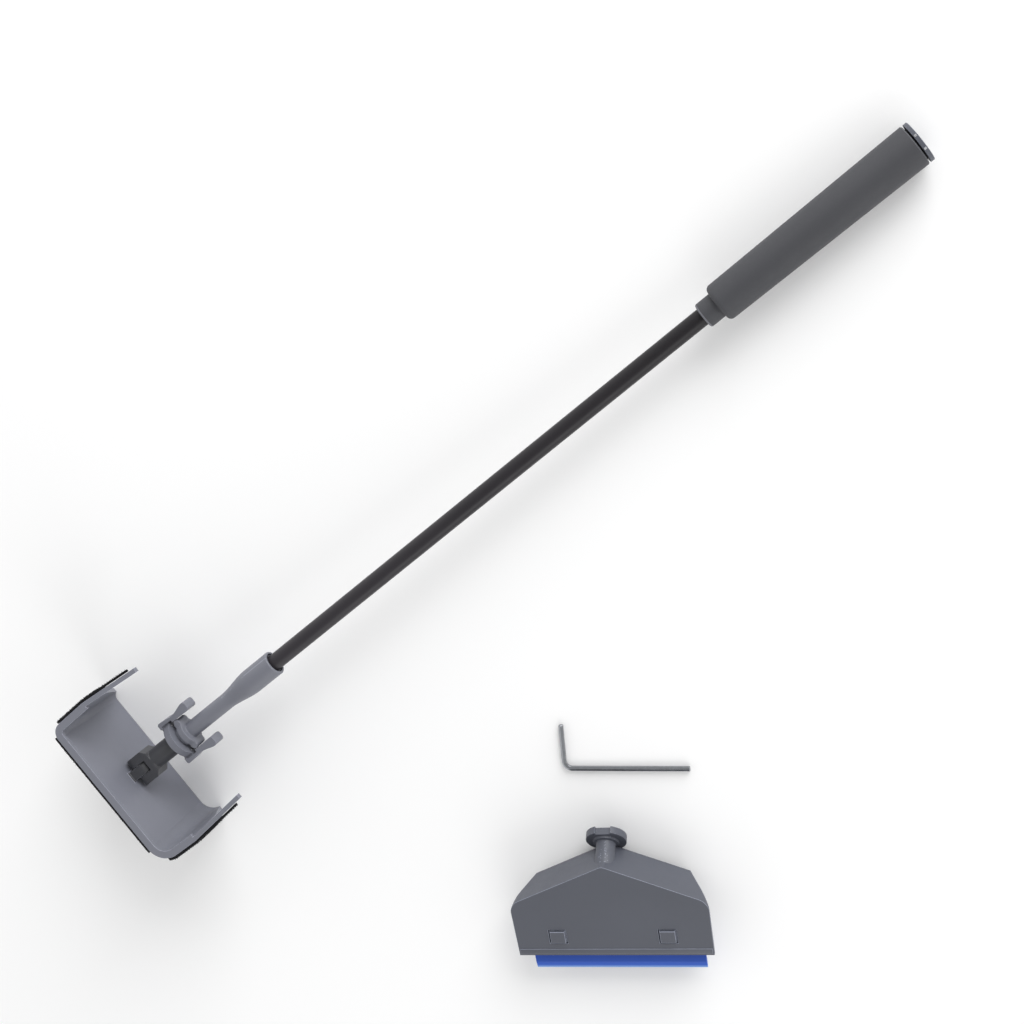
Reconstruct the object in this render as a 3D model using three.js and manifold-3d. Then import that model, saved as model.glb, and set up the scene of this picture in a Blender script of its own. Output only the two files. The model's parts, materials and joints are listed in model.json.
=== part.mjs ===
// Hand-held pole cleaner: a U-shaped head with hook strips on a hinged stub, clipped to a pole,
// with a clip-on squeegee head and the hex key for the hinge screw.
// Millimetres, +Z up. The pole frame has its origin on the inner face of the head's plate,
// x along the pole towards the handle, y across the tool and z out of the pole's side.
// The origin of the finished part is the bottom centre of its box, on the surface it lies on.
import * as THREE from 'three';
import { mergeVertices } from 'three/addons/utils/BufferGeometryUtils.js';
import Module from 'manifold-3d';

const wasm = await Module();
wasm.setup();

// ---------- driving dimensions ----------
const GAP = 0.3; // clearance between pieces that touch
const EPS = 1; // how far a cutting tool runs past the face that it cuts
const TURN = Math.PI / 180;
const ROUND = 40; // sides of a large round piece
const FINE = 24; // sides of a small round piece
const CURVE_STEPS = 8; // straight steps along a curved profile
const ARC_STEPS = 16; // straight steps along a large arc

// head: a U-shaped shell, wide across y and deep along z
const HEAD_DEPTH = 76.8;
const HEAD_WIDTH = 114; // over the outer faces, at the plate
const BEND_SPREAD = 0.8; // how far the sides lean outwards up to the bend
const TIP_PINCH = 3.4; // how far the arm tips come in again
const SIDE_LENGTH = 28.8; // from the plate's inner face to the bend
const ARM_LENGTH = 45.2; // from the bend to the arm tips
const WALL = 3;
const LIP_THICK = 5; // the near edge is thickened inwards
const LIP_DEPTH = 2.6;
const SMALL_CORNER = 8; // outer radius of the corner on +y
const LARGE_CORNER = 14; // outer radius of the corner on -y
const BEND_RADIUS = 9;
const GUSSET_BACK = 5; // an arm's slanted edge starts this far before its corner's end
const FINGER_LENGTH = 34; // slim end of each arm
const FINGER_DEPTH = 3.5; // its depth along z
const GUSSET_SOFT = 9;
const HEAD_TILT_ROOM = 0.5; // side play of the lug in the fork

// hook strips on the outer faces
const STRIP_THICK = 2.3;
const STRIP_EDGE = 0.7; // how far a strip stays back from the shell's edge
const STRIP_START_X = 4; // where an arm's strip begins, past the corner
const STRIP_TIP = 5.5; // bare length at an arm's tip
const STRIP_CORNER = 2.4; // how far the base strip runs onto each corner

// hinge between the head and the stub
const HINGE_X = 8.5;
const LUG_RADIUS = 6.2;
const LUG_WIDTH = 7;
const LUG_ROOT = 13; // length of the lug's foot on the plate, along z
const EAR_RADIUS = 7;
const FORK_WIDTH = 20.7;
const FORK_SHOULDER = 8.3; // from the hinge's axis to the ears' chamfer
const FORK_CHAMFER = 3.2;
const LUG_END_ROOM = 0.2; // extra depth of the fork's slot
const SCREW_DIAMETER = 4;
const SCREW_HEAD_DIAMETER = 7;
const SCREW_HEAD_HEIGHT = 4;
const KEY_SIZE = 3; // across the flats, shared by the screw's socket and the key
const KEY_FIT = 0.1; // play of the key in the screw's socket
const SOCKET_DEPTH = 2.2;
const NUT_FLATS = 7;
const NUT_THICK = 3.2;
const RECESS_DEPTH = 0.3; // how deep the screw head and the nut lie below the ears' faces

// stub and its lock disc
const STUB_DIAMETER = 14;
const STUB_LENGTH = 33.6; // from the hinge's axis to the disc's underside
const DISC_DIAMETER = 26.5;
const DISC_THICK = 4.9;
const NOTCH_WIDTH = 10;
const NOTCH_DEPTH = 3;
const SPIGOT_DIAMETER = 9;
const SPIGOT_LENGTH = 3.2;
const DISC_RING_DIAMETER = 15.4;
const DISC_RING_THICK = 1;

// socket on the pole's lower end
const HUB_DIAMETER = 15; // the hub stands on the disc's flat side
const HUB_LENGTH = 2.8;
const BOSS_DIAMETER = 19; // round middle of the crossbar
const CROSSBAR_THICK = 4.6;
const SHAFT_DIAMETER = 11.2;
const SHAFT_LENGTH = 33.8; // slim length past the crossbar
const CONE_LENGTH = 24.5;
const SOCKET_DIAMETER = 17;
const SOCKET_LENGTH = 21.1;
const MOUTH_DIAMETER = 13.8;
const MOUTH_DEPTH = 2.2;
const ROD_INSERT = 23;

// release levers on both sides of the crossbar
const LEVER_DEPTH = 12; // along z, shared with the crossbar
const LEVER_HEEL = 2.2; // from the disc's underside to the lever's hooked end
const LEVER_REACH = 14; // from its pivot to its finger tip
const LEVER_INSET = 1.45; // its inner face lies this far inside the disc's edge
const LEVER_SIDE = 3; // thickness beside the disc
const LEVER_WAIST = 3.7; // thickness at the pivot
const LEVER_TIP = 6.5; // thickness at the finger tip
const LEVER_TIP_INSET = 0.3;
const LEVER_SOFT = 2.4; // rounding of the finger tip
const DISC_SIDE_ROOM = 0.35; // between the disc's edge and a lever
const HOOK_OVERLAP = 1.05; // how far a hook reaches under the disc and under its notch's floor

// rod and handle
const ROD_DIAMETER = 11;
const ROD_WALL = 0.9;
const BARE_ROD = 354.3; // between the socket and the collar
const COLLAR_DIAMETER = 16.2;
const COLLAR_LENGTH = 10.6; // what shows in front of the grip
const COLLAR_INSERT = 22;
const GRIP_LENGTH = 137.4;
const GRIP_FRONT_DIAMETER = 24.1;
const GRIP_REAR_DIAMETER = 26;
const GRIP_BORE_ROOM = 0.5; // dark gap between collar and grip
const GRIP_NOSE_RADIUS = 3;
const ROD_IN_GRIP = 113;
const BUSH_LENGTH = 14;
const GROOVE = 1.1; // the black line in front of the end cap
const CAP_FLANGE = 2.4;
const CAP_INSERT = 16;
const CAP_NECK_DIAMETER = 22;

// squeegee head: lies on its back, so its own frame has x across, y up to the neck, z out of its face
const SQUEEGEE_WIDTH = 130;
const SQUEEGEE_FOOT_WIDTH = 128.6;
const SQUEEGEE_BACK_WIDTH = 103;
const SQUEEGEE_DEPTH = 27.5;
const SQUEEGEE_SIDE = 35.5; // height of its straight sides
const SQUEEGEE_SHOULDER = 5; // height of the chamfer above a side
const SQUEEGEE_SHOULDER_IN = 3.5;
const SQUEEGEE_ROOF = 26; // from the shoulders up to the ridge
const SQUEEGEE_WALL = 2.6;
const POCKET_HEIGHT = 24;
const WINDOW_WIDTH = 12;
const WINDOW_HEIGHT = 10.6;
const WINDOW_Y = 14.2;
const WINDOW_X = 36.2; // from the middle to each window's centre
const TAB_PROUD = 0.5;
const NECK_DIAMETER = 12.6;
const NECK_TILT = 58; // degrees back from the squeegee's face
const NECK_LENGTH = 14;
const NECK_BURIED = 5; // its length inside the body
const NECK_DROP = 4.5; // from the ridge's end down to the neck's root
const NECK_ROOT_DEPTH = 13; // below the face
const BLADE_WIDTH = 114;
const BLADE_THICK = 3;
const BLADE_REACH = 16.5;
const BLADE_GRIPPED = 12;
const BLADE_LIP = 5; // length over which the blade narrows
const BLADE_LIP_THICK = 1.2;
const BLADE_DEPTH = 10; // below the face

// hex key
const KEY_LONG = 82;
const KEY_SHORT = 30;
const KEY_BEND = 5;

// where the loose pieces lie beside the pole, and how they are turned
const SQUEEGEE_PLACE = [188.6, -286.2];
const SQUEEGEE_TURN = -32.2;
const KEY_PLACE = [232.6, -172.7];
const KEY_TURN = -34.6;

// ---------- values worked out from the dimensions ----------
const NEAR = HEAD_DEPTH / 2; // the near edge, towards +z
const CORNER_Y = HEAD_WIDTH / 2;
const BEND_Y = CORNER_Y + BEND_SPREAD;
const TIP_Y = CORNER_Y - TIP_PINCH;
const ARM_REACH = SIDE_LENGTH + ARM_LENGTH;
const FORK_SHOULDER_X = HINGE_X + FORK_SHOULDER;
const FORK_END_X = FORK_SHOULDER_X + FORK_CHAMFER;
const DISC_X = HINGE_X + STUB_LENGTH;
const DISC_TOP_X = DISC_X + DISC_THICK;
const HUB_X = DISC_TOP_X + GAP;
const CROSSBAR_X = HUB_X + HUB_LENGTH;
const CROSSBAR_MID_X = CROSSBAR_X + CROSSBAR_THICK / 2;
const SHAFT_END_X = CROSSBAR_X + CROSSBAR_THICK + SHAFT_LENGTH;
const CONE_END_X = SHAFT_END_X + CONE_LENGTH;
const SOCKET_END_X = CONE_END_X + SOCKET_LENGTH;
const ROD_START_X = SOCKET_END_X - ROD_INSERT;
const COLLAR_X = SOCKET_END_X + BARE_ROD;
const GRIP_X = COLLAR_X + COLLAR_LENGTH;
const GRIP_END_X = GRIP_X + GRIP_LENGTH;
const ROD_END_X = GRIP_X + ROD_IN_GRIP;
const GRIP_BORE = COLLAR_DIAMETER + 2 * GRIP_BORE_ROOM;
const LEVER_INNER_Y = DISC_DIAMETER / 2 - LEVER_INSET;
const PIVOT_Y = LEVER_INNER_Y - GAP - CROSSBAR_THICK / 2;
const SLOT_HALF = LUG_WIDTH / 2 + HEAD_TILT_ROOM / 2 + GAP / 3;
const SLOT_END_X = HINGE_X + LUG_RADIUS + GAP + LUG_END_ROOM;
const SCREW_HOLE = SCREW_DIAMETER + 2 * GAP;
const NOTCH_FLOOR = DISC_DIAMETER / 2 - NOTCH_DEPTH;
const SHOULDER_Y = SQUEEGEE_SIDE + SQUEEGEE_SHOULDER;
const APEX_Y = SHOULDER_Y + SQUEEGEE_ROOF;
const NECK_ROOT_Y = APEX_Y - NECK_DROP;

const COLOURS = {
  shell: [0x74777f, 0.55, 0],
  darkPlastic: [0x46474b, 0.6, 0],
  grip: [0x4f5054, 0.8, 0],
  hook: [0x121214, 1, 0],
  rod: [0x2a282b, 0.4, 0.6],
  steel: [0xb8bcc2, 0.25, 1],
  blade: [0x2c50b8, 0.45, 0],
};

// ---------- helpers ----------
function toSolid(geometry) {
  const bare = geometry.clone();
  bare.deleteAttribute('normal');
  bare.deleteAttribute('uv');
  const merged = mergeVertices(bare, 1e-4);
  return new wasm.Manifold(new wasm.Mesh({
    numProp: 3,
    vertProperties: new Float32Array(merged.attributes.position.array),
    triVerts: new Uint32Array(merged.index.array),
  }));
}

function toMesh(name, solid, colour) {
  const { vertProperties, triVerts } = solid.getMesh();
  const geometry = new THREE.BufferGeometry();
  geometry.setAttribute('position', new THREE.BufferAttribute(vertProperties, 3));
  geometry.setIndex(new THREE.BufferAttribute(triVerts, 1));
  geometry.computeVertexNormals();
  const [hex, roughness, metalness] = COLOURS[colour];
  const material = new THREE.MeshStandardMaterial({ color: hex, roughness, metalness });
  const mesh = new THREE.Mesh(geometry, material);
  mesh.name = name;
  return mesh;
}

const joined = (first, ...rest) => rest.reduce((sum, next) => sum.add(next), first);
const cutBy = (first, ...rest) => rest.reduce((left, next) => left.subtract(next), first);

function block(x0, x1, y0, y1, z0, z1) {
  const box = new THREE.BoxGeometry(x1 - x0, y1 - y0, z1 - z0);
  return toSolid(box.translate((x0 + x1) / 2, (y0 + y1) / 2, (z0 + z1) / 2));
}

// a cylinder along x
function roundX(diameter, x0, x1, sides = ROUND) {
  const cylinder = new THREE.CylinderGeometry(diameter / 2, diameter / 2, x1 - x0, sides);
  return toSolid(cylinder.rotateZ(-Math.PI / 2).translate((x0 + x1) / 2, 0, 0));
}

// a cylinder along y, or a prism with flat sides, through (x, z)
function roundY(diameter, y0, y1, x, z, sides = FINE) {
  const cylinder = new THREE.CylinderGeometry(diameter / 2, diameter / 2, y1 - y0, sides);
  return toSolid(cylinder.translate(x, (y0 + y1) / 2, z));
}

// a profile of [radius, x] points turned about x; it starts and ends on the axis
function turned(profile, sides = ROUND) {
  const points = profile.map(([radius, x]) => new THREE.Vector2(radius, x));
  return toSolid(new THREE.LatheGeometry(points, sides).rotateZ(-Math.PI / 2));
}

// a plate with its outline in x and y, between z0 and z1
function plateXY(points, z0, z1) {
  const shape = new THREE.Shape(points.map(([x, y]) => new THREE.Vector2(x, y)));
  const body = new THREE.ExtrudeGeometry(shape, { depth: z1 - z0, bevelEnabled: false });
  return toSolid(body.translate(0, 0, z0));
}

// a plate with its outline in x and z, between y0 and y1
function plateXZ(points, y0, y1) {
  const shape = new THREE.Shape(points.map(([x, z]) => new THREE.Vector2(x, z)));
  const body = new THREE.ExtrudeGeometry(shape, { depth: y1 - y0, bevelEnabled: false });
  return toSolid(body.rotateX(Math.PI / 2).translate(0, y1, 0));
}

// an open path with each inner corner rounded to its own radius
function roundedPath(points, radii, steps = CURVE_STEPS) {
  const path = [points[0]];
  for (let i = 1; i < points.length - 1; i += 1) {
    const corner = new THREE.Vector2(...points[i]);
    const back = new THREE.Vector2(...points[i - 1]).sub(corner).normalize();
    const ahead = new THREE.Vector2(...points[i + 1]).sub(corner).normalize();
    const half = Math.acos(THREE.MathUtils.clamp(back.dot(ahead), -1, 1)) / 2;
    const cut = radii[i - 1] / Math.tan(half);
    const middle = back.clone().add(ahead).normalize();
    const centre = corner.clone().addScaledVector(middle, radii[i - 1] / Math.sin(half));
    const from = corner.clone().addScaledVector(back, cut).sub(centre);
    const to = corner.clone().addScaledVector(ahead, cut).sub(centre);
    const sweep = Math.atan2(from.cross(to), from.dot(to));
    for (let s = 0; s <= steps; s += 1) {
      const spot = from.clone().rotateAround(new THREE.Vector2(), sweep * s / steps).add(centre);
      path.push([spot.x, spot.y]);
    }
  }
  path.push(points[points.length - 1]);
  return path;
}

// the same open path moved sideways: a positive distance is to the left of its direction
function offsetPath(points, distance) {
  const side = (a, b) => {
    const length = Math.hypot(b[0] - a[0], b[1] - a[1]);
    return [-(b[1] - a[1]) / length, (b[0] - a[0]) / length];
  };
  return points.map((point, i) => {
    const before = side(points[Math.max(i - 1, 0)], points[Math.max(i, 1)]);
    const last = points.length - 1;
    const after = side(points[Math.min(i, last - 1)], points[Math.min(i + 1, last)]);
    const spread = 1 + before[0] * after[0] + before[1] * after[1];
    return [
      point[0] + distance * (before[0] + after[0]) / spread,
      point[1] + distance * (before[1] + after[1]) / spread,
    ];
  });
}

// a band between two distances from the head's outer line, counted inwards
function headBand(line, radii, inner, outer) {
  const grow = (distance) => {
    const moved = offsetPath(line, distance);
    return roundedPath(moved, radii.map((radius) => radius - distance));
  };
  return [...grow(outer), ...grow(inner).reverse()];
}

// ---------- head ----------
const outerLine = [
  [ARM_REACH, TIP_Y],
  [SIDE_LENGTH, BEND_Y],
  [-WALL, CORNER_Y],
  [-WALL, -CORNER_Y],
  [SIDE_LENGTH, -BEND_Y],
  [ARM_REACH, -TIP_Y],
];
const outerRadii = [BEND_RADIUS, SMALL_CORNER, LARGE_CORNER, BEND_RADIUS];

// what is cut away below an arm's slanted edge; back moves the edge towards the arm's root
function gussetCut(rootX, back, y0, y1) {
  const edge = roundedPath([
    [rootX - back, -NEAR - EPS],
    [ARM_REACH - FINGER_LENGTH + rootX / 2 - back, NEAR - FINGER_DEPTH + back],
    [ARM_REACH + EPS, NEAR - FINGER_DEPTH + back],
  ], [GUSSET_SOFT]);
  return plateXZ([...edge, [ARM_REACH + EPS, -NEAR - EPS]], y0, y1);
}

const SMALL_ROOT = SMALL_CORNER - GUSSET_BACK; // where each arm's slanted edge starts
const LARGE_ROOT = LARGE_CORNER - GUSSET_BACK;
const WIDE = BEND_Y + STRIP_THICK + 2 * EPS;

function gussets(solid, back = 0) {
  return cutBy(solid, gussetCut(SMALL_ROOT, back, 0, WIDE), gussetCut(LARGE_ROOT, back, -WIDE, 0));
}

function headShell() {
  const wall = plateXY(headBand(outerLine, outerRadii, WALL, 0), -NEAR, NEAR);
  const lipLine = outerLine.slice(1, -1);
  const lipBand = headBand(lipLine, outerRadii.slice(1, -1), LIP_THICK, 0);
  const lip = plateXY(lipBand, NEAR - LIP_DEPTH, NEAR);
  const foot = LUG_ROOT / 2;
  const reach = Math.hypot(HINGE_X, foot);
  const touch = Math.atan2(foot, -HINGE_X) - Math.acos(LUG_RADIUS / reach);
  const lugEdge = [[-WALL / 2, foot], [-WALL / 2, -foot], [0, -foot]];
  for (let s = 0; s <= ARC_STEPS; s += 1) {
    const angle = -touch + 2 * touch * s / ARC_STEPS;
    lugEdge.push([HINGE_X + LUG_RADIUS * Math.cos(angle), LUG_RADIUS * Math.sin(angle)]);
  }
  lugEdge.push([0, foot]);
  const lug = plateXZ(lugEdge, -LUG_WIDTH / 2, LUG_WIDTH / 2);
  const hole = roundY(SCREW_HOLE, -LUG_WIDTH, LUG_WIDTH, HINGE_X, 0);
  return cutBy(joined(gussets(joined(wall, lip)), lug), hole);
}

function hookStrips() {
  const outline = headBand(outerLine, outerRadii, -GAP, -GAP - STRIP_THICK);
  const band = plateXY(outline, -NEAR + STRIP_EDGE, NEAR - STRIP_EDGE);
  const shaped = gussets(band, STRIP_EDGE);
  const plateTop = CORNER_Y - SMALL_CORNER + STRIP_CORNER;
  const plateBottom = -CORNER_Y + LARGE_CORNER - STRIP_CORNER;
  const armSpan = [STRIP_START_X, ARM_REACH - STRIP_TIP];
  const outerX = -WALL - STRIP_THICK - EPS;
  const arm = (y0, y1) => shaped.intersect(block(...armSpan, y0, y1, -NEAR, NEAR));
  return [
    ['base_hook_strip', band.intersect(block(outerX, -WALL, plateBottom, plateTop, -NEAR, NEAR))],
    ['left_hook_strip', arm(CORNER_Y - SMALL_CORNER, WIDE)],
    ['right_hook_strip', arm(-WIDE, -CORNER_Y + SMALL_CORNER)],
  ];
}

// ---------- hinge, stub and lock disc ----------
const EAR_Y = FORK_WIDTH / 2;
const HEAD_FACE_Y = EAR_Y - RECESS_DEPTH;

function headStub() {
  const side = [];
  for (let s = 0; s <= ARC_STEPS; s += 1) {
    const angle = Math.PI / 2 + Math.PI * s / ARC_STEPS;
    side.push([HINGE_X + EAR_RADIUS * Math.cos(angle), EAR_RADIUS * Math.sin(angle)]);
  }
  side.push([FORK_END_X, -EAR_RADIUS], [FORK_END_X, EAR_RADIUS]);
  const top = [
    [0, -EAR_Y], [FORK_SHOULDER_X, -EAR_Y], [FORK_END_X, -STUB_DIAMETER / 2],
    [FORK_END_X, STUB_DIAMETER / 2], [FORK_SHOULDER_X, EAR_Y], [0, EAR_Y],
  ];
  const fork = plateXZ(side, -EAR_Y, EAR_Y).intersect(plateXY(top, -EAR_RADIUS, EAR_RADIUS));
  const tube = roundX(STUB_DIAMETER, FORK_SHOULDER_X, DISC_X - GAP);
  const spigot = roundX(SPIGOT_DIAMETER, DISC_X - EPS, DISC_X + SPIGOT_LENGTH);
  const slot = block(0, SLOT_END_X, -SLOT_HALF, SLOT_HALF, -EAR_RADIUS - EPS, EAR_RADIUS + EPS);
  const hole = roundY(SCREW_HOLE, -EAR_Y - EPS, EAR_Y + EPS, HINGE_X, 0);
  const headSeat = HEAD_FACE_Y - SCREW_HEAD_HEIGHT - GAP;
  const counterbore = roundY(SCREW_HEAD_DIAMETER + 2 * GAP, headSeat, EAR_Y + EPS, HINGE_X, 0);
  const nutSeat = HEAD_FACE_Y - NUT_THICK - GAP;
  const nutPocket = hexY(NUT_FLATS + 2 * GAP, -EAR_Y - EPS, -nutSeat);
  return cutBy(joined(fork, tube, spigot), slot, hole, counterbore, nutPocket);
}

// a hexagonal prism along y on the hinge's axis
function hexY(flats, y0, y1) {
  return roundY(flats / Math.cos(Math.PI / 6), y0, y1, HINGE_X, 0, 6);
}

function hingeScrew() {
  const headStart = HEAD_FACE_Y - SCREW_HEAD_HEIGHT;
  const head = roundY(SCREW_HEAD_DIAMETER, headStart, HEAD_FACE_Y, HINGE_X, 0);
  const shank = roundY(SCREW_DIAMETER, -HEAD_FACE_Y, headStart + EPS / 2, HINGE_X, 0);
  const socket = hexY(KEY_SIZE + KEY_FIT, HEAD_FACE_Y - SOCKET_DEPTH, HEAD_FACE_Y + EPS);
  return cutBy(joined(head, shank), socket);
}

function hingeNut() {
  const nut = hexY(NUT_FLATS, -HEAD_FACE_Y, -HEAD_FACE_Y + NUT_THICK);
  return cutBy(nut, roundY(SCREW_HOLE, -EAR_Y - EPS, 0, HINGE_X, 0));
}

// the disc's shape from its underside up, with a notch on each side for the clip's levers
function discSolid(x0) {
  const notches = [1, -1].map((way) => {
    const edges = [way * NOTCH_FLOOR, way * DISC_DIAMETER].sort((a, b) => a - b);
    return block(x0 - EPS, x0 + DISC_THICK + EPS, -NOTCH_WIDTH / 2, NOTCH_WIDTH / 2, ...edges);
  });
  return cutBy(roundX(DISC_DIAMETER, x0, x0 + DISC_THICK, 2 * FINE), ...notches);
}

function lockDisc() {
  const bore = roundX(SPIGOT_DIAMETER + 2 * GAP, DISC_X - EPS, DISC_X + SPIGOT_LENGTH + GAP);
  const sideways = new THREE.Matrix4().makeRotationX(Math.PI / 2); // its notches face the levers
  return cutBy(discSolid(DISC_X).transform(sideways.elements), bore);
}

// ---------- socket and release levers ----------
function poleSocket() {
  const hub = roundX(HUB_DIAMETER, HUB_X, CROSSBAR_X + EPS);
  const boss = roundX(BOSS_DIAMETER, CROSSBAR_X, CROSSBAR_X + CROSSBAR_THICK);
  const barEnd = CROSSBAR_X + CROSSBAR_THICK;
  const bar = block(CROSSBAR_X, barEnd, -PIVOT_Y, PIVOT_Y, -LEVER_DEPTH / 2, LEVER_DEPTH / 2);
  const ends = [PIVOT_Y, -PIVOT_Y].map((y) => {
    const end = new THREE.CylinderGeometry(CROSSBAR_THICK / 2, CROSSBAR_THICK / 2, LEVER_DEPTH, FINE);
    return toSolid(end.rotateX(Math.PI / 2).translate(CROSSBAR_MID_X, y, 0));
  });
  const shaft = SHAFT_DIAMETER / 2;
  const profile = [[0, CROSSBAR_X], [shaft, CROSSBAR_X], [shaft, SHAFT_END_X]];
  for (let s = 1; s < CURVE_STEPS; s += 1) {
    const along = s / CURVE_STEPS;
    const swell = along * along * (3 - 2 * along);
    const radius = THREE.MathUtils.lerp(SHAFT_DIAMETER, SOCKET_DIAMETER, swell) / 2;
    profile.push([radius, THREE.MathUtils.lerp(SHAFT_END_X, CONE_END_X, along)]);
  }
  const wide = SOCKET_DIAMETER / 2;
  profile.push([wide, CONE_END_X], [wide, SOCKET_END_X], [0, SOCKET_END_X]);
  const bore = roundX(ROD_DIAMETER + 2 * GAP, ROD_START_X - GAP, SOCKET_END_X + EPS);
  const mouth = roundX(MOUTH_DIAMETER, SOCKET_END_X - MOUTH_DEPTH, SOCKET_END_X + EPS);
  return cutBy(joined(turned(profile), hub, boss, bar, ...ends), bore, mouth);
}

// side is 1 for the lever on +y and -1 for the one on -y
function releaseLever(side) {
  const discFace = DISC_DIAMETER / 2 + DISC_SIDE_ROOM;
  const hookInner = DISC_DIAMETER / 2 - HOOK_OVERLAP;
  const hookOuter = discFace + LEVER_SIDE;
  const waist = LEVER_INNER_Y + LEVER_WAIST;
  const tipInner = LEVER_INNER_Y - LEVER_TIP_INSET;
  const tipOuter = tipInner + LEVER_TIP;
  const startX = DISC_X - LEVER_HEEL;
  const stepX = CROSSBAR_X + GAP;
  const endX = CROSSBAR_MID_X + LEVER_REACH;
  const ease = LEVER_REACH / 3; // how far the waist's curve runs each way
  const outline = new THREE.Shape();
  outline.moveTo(startX, hookInner);
  outline.lineTo(DISC_X - GAP, hookInner);
  outline.lineTo(DISC_X - GAP, discFace);
  outline.lineTo(stepX, discFace);
  outline.lineTo(stepX, LEVER_INNER_Y);
  outline.lineTo(endX - LEVER_SOFT, tipInner);
  outline.quadraticCurveTo(endX, tipInner, endX, tipInner + LEVER_SOFT);
  outline.lineTo(endX, tipOuter - LEVER_SOFT);
  outline.quadraticCurveTo(endX, tipOuter, endX - LEVER_SOFT, tipOuter);
  outline.bezierCurveTo(endX - ease, tipOuter, CROSSBAR_MID_X + ease, waist, CROSSBAR_MID_X, waist);
  outline.bezierCurveTo(CROSSBAR_MID_X - ease, waist, DISC_X + ease, hookOuter, startX + EPS, hookOuter);
  outline.lineTo(startX, hookOuter - EPS);
  const points = outline.getPoints(CURVE_STEPS).slice(0, -1).map((point) => [point.x, side * point.y]);
  const lever = plateXY(points, -LEVER_DEPTH / 2, LEVER_DEPTH / 2);
  // a rib fills the disc's notch, and its foot reaches under the notch's floor
  const ribHalf = NOTCH_WIDTH / 2 - GAP;
  const inward = (y) => [side * y, side * (discFace + EPS)].sort((a, b) => a - b);
  const ribFace = inward(NOTCH_FLOOR + GAP);
  const footFace = inward(NOTCH_FLOOR - HOOK_OVERLAP);
  const rib = block(startX, DISC_TOP_X, ...ribFace, -ribHalf, ribHalf);
  const foot = block(startX, DISC_X - GAP, ...footFace, -ribHalf, ribHalf);
  return joined(lever, rib, foot);
}

// ---------- rod and handle ----------
function pipe(outer, inner, x0, x1) {
  return cutBy(roundX(outer, x0, x1), roundX(inner, x0 - EPS, x1 + EPS));
}

function grip() {
  const front = GRIP_FRONT_DIAMETER / 2;
  const profile = [[0, GRIP_X]];
  for (let s = 0; s <= CURVE_STEPS; s += 1) {
    const angle = Math.PI / 2 * s / CURVE_STEPS;
    const radius = front - GRIP_NOSE_RADIUS * (1 - Math.sin(angle));
    profile.push([radius, GRIP_X + GRIP_NOSE_RADIUS * (1 - Math.cos(angle))]);
  }
  profile.push([GRIP_REAR_DIAMETER / 2, GRIP_END_X], [0, GRIP_END_X]);
  return cutBy(turned(profile, 2 * FINE), roundX(GRIP_BORE, GRIP_X - EPS, GRIP_END_X + EPS));
}

function gripEndCap() {
  const start = GRIP_END_X + GROOVE;
  const flange = roundX(GRIP_REAR_DIAMETER - GAP, start, start + CAP_FLANGE, 2 * FINE);
  const neck = roundX(CAP_NECK_DIAMETER, GRIP_END_X + GAP, start + EPS / 2);
  const plug = roundX(GRIP_BORE - 2 * GAP, GRIP_END_X - CAP_INSERT, start + EPS / 2);
  return joined(flange, neck, plug);
}

// ---------- squeegee head ----------
function squeegeeBody() {
  const half = SQUEEGEE_WIDTH / 2;
  const foot = SQUEEGEE_FOOT_WIDTH / 2;
  const shoulder = half - SQUEEGEE_SHOULDER_IN;
  const house = [
    [-foot, 0], [foot, 0], [half, SQUEEGEE_SIDE], [shoulder, SHOULDER_Y],
    [0, APEX_Y], [-shoulder, SHOULDER_Y], [-half, SQUEEGEE_SIDE],
  ];
  const back = SQUEEGEE_BACK_WIDTH / 2;
  const taper = [[-back, -SQUEEGEE_DEPTH], [back, -SQUEEGEE_DEPTH], [half, 0], [-half, 0]];
  const body = plateXY(house, -SQUEEGEE_DEPTH, 0).intersect(plateXZ(taper, -EPS, APEX_Y + EPS));
  const pocket = block(...pocketSpan(0), -EPS, POCKET_HEIGHT, ...pocketDepth(0));
  const blade = BLADE_WIDTH / 2 + GAP;
  const slit = block(-blade, blade, -EPS, BLADE_GRIPPED + GAP, ...bladeSlot());
  const windows = [-WINDOW_X, WINDOW_X].map((x) => block(x - WINDOW_WIDTH / 2, x + WINDOW_WIDTH / 2,
    WINDOW_Y - WINDOW_HEIGHT / 2, WINDOW_Y + WINDOW_HEIGHT / 2, -SQUEEGEE_WALL - EPS, EPS));
  return cutBy(joined(body, squeegeeNeck()), pocket, slit, ...windows);
}

const pocketSpan = (room) => {
  const half = SQUEEGEE_BACK_WIDTH / 2 + SQUEEGEE_WALL / 2 - room;
  return [-half, half];
};
const pocketDepth = (room) => [-SQUEEGEE_DEPTH + 2 * SQUEEGEE_WALL + room, -SQUEEGEE_WALL - room];
const bladeSlot = () => {
  const half = BLADE_THICK / 2 + GAP;
  return [-BLADE_DEPTH - half, -BLADE_DEPTH + half];
};

function placeNeck(solid) {
  const spin = new THREE.Matrix4().makeRotationX(-NECK_TILT * TURN);
  const stand = new THREE.Matrix4().makeRotationZ(Math.PI / 2);
  const move = new THREE.Matrix4().makeTranslation(0, NECK_ROOT_Y, -NECK_ROOT_DEPTH);
  return solid.transform(move.multiply(spin).multiply(stand).elements);
}

function squeegeeNeck() {
  const neck = roundX(NECK_DIAMETER, -NECK_BURIED, NECK_LENGTH + EPS);
  const ring = roundX(DISC_RING_DIAMETER, NECK_LENGTH - DISC_RING_THICK, NECK_LENGTH + EPS / 2);
  return placeNeck(joined(neck, ring, discSolid(NECK_LENGTH)));
}

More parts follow.
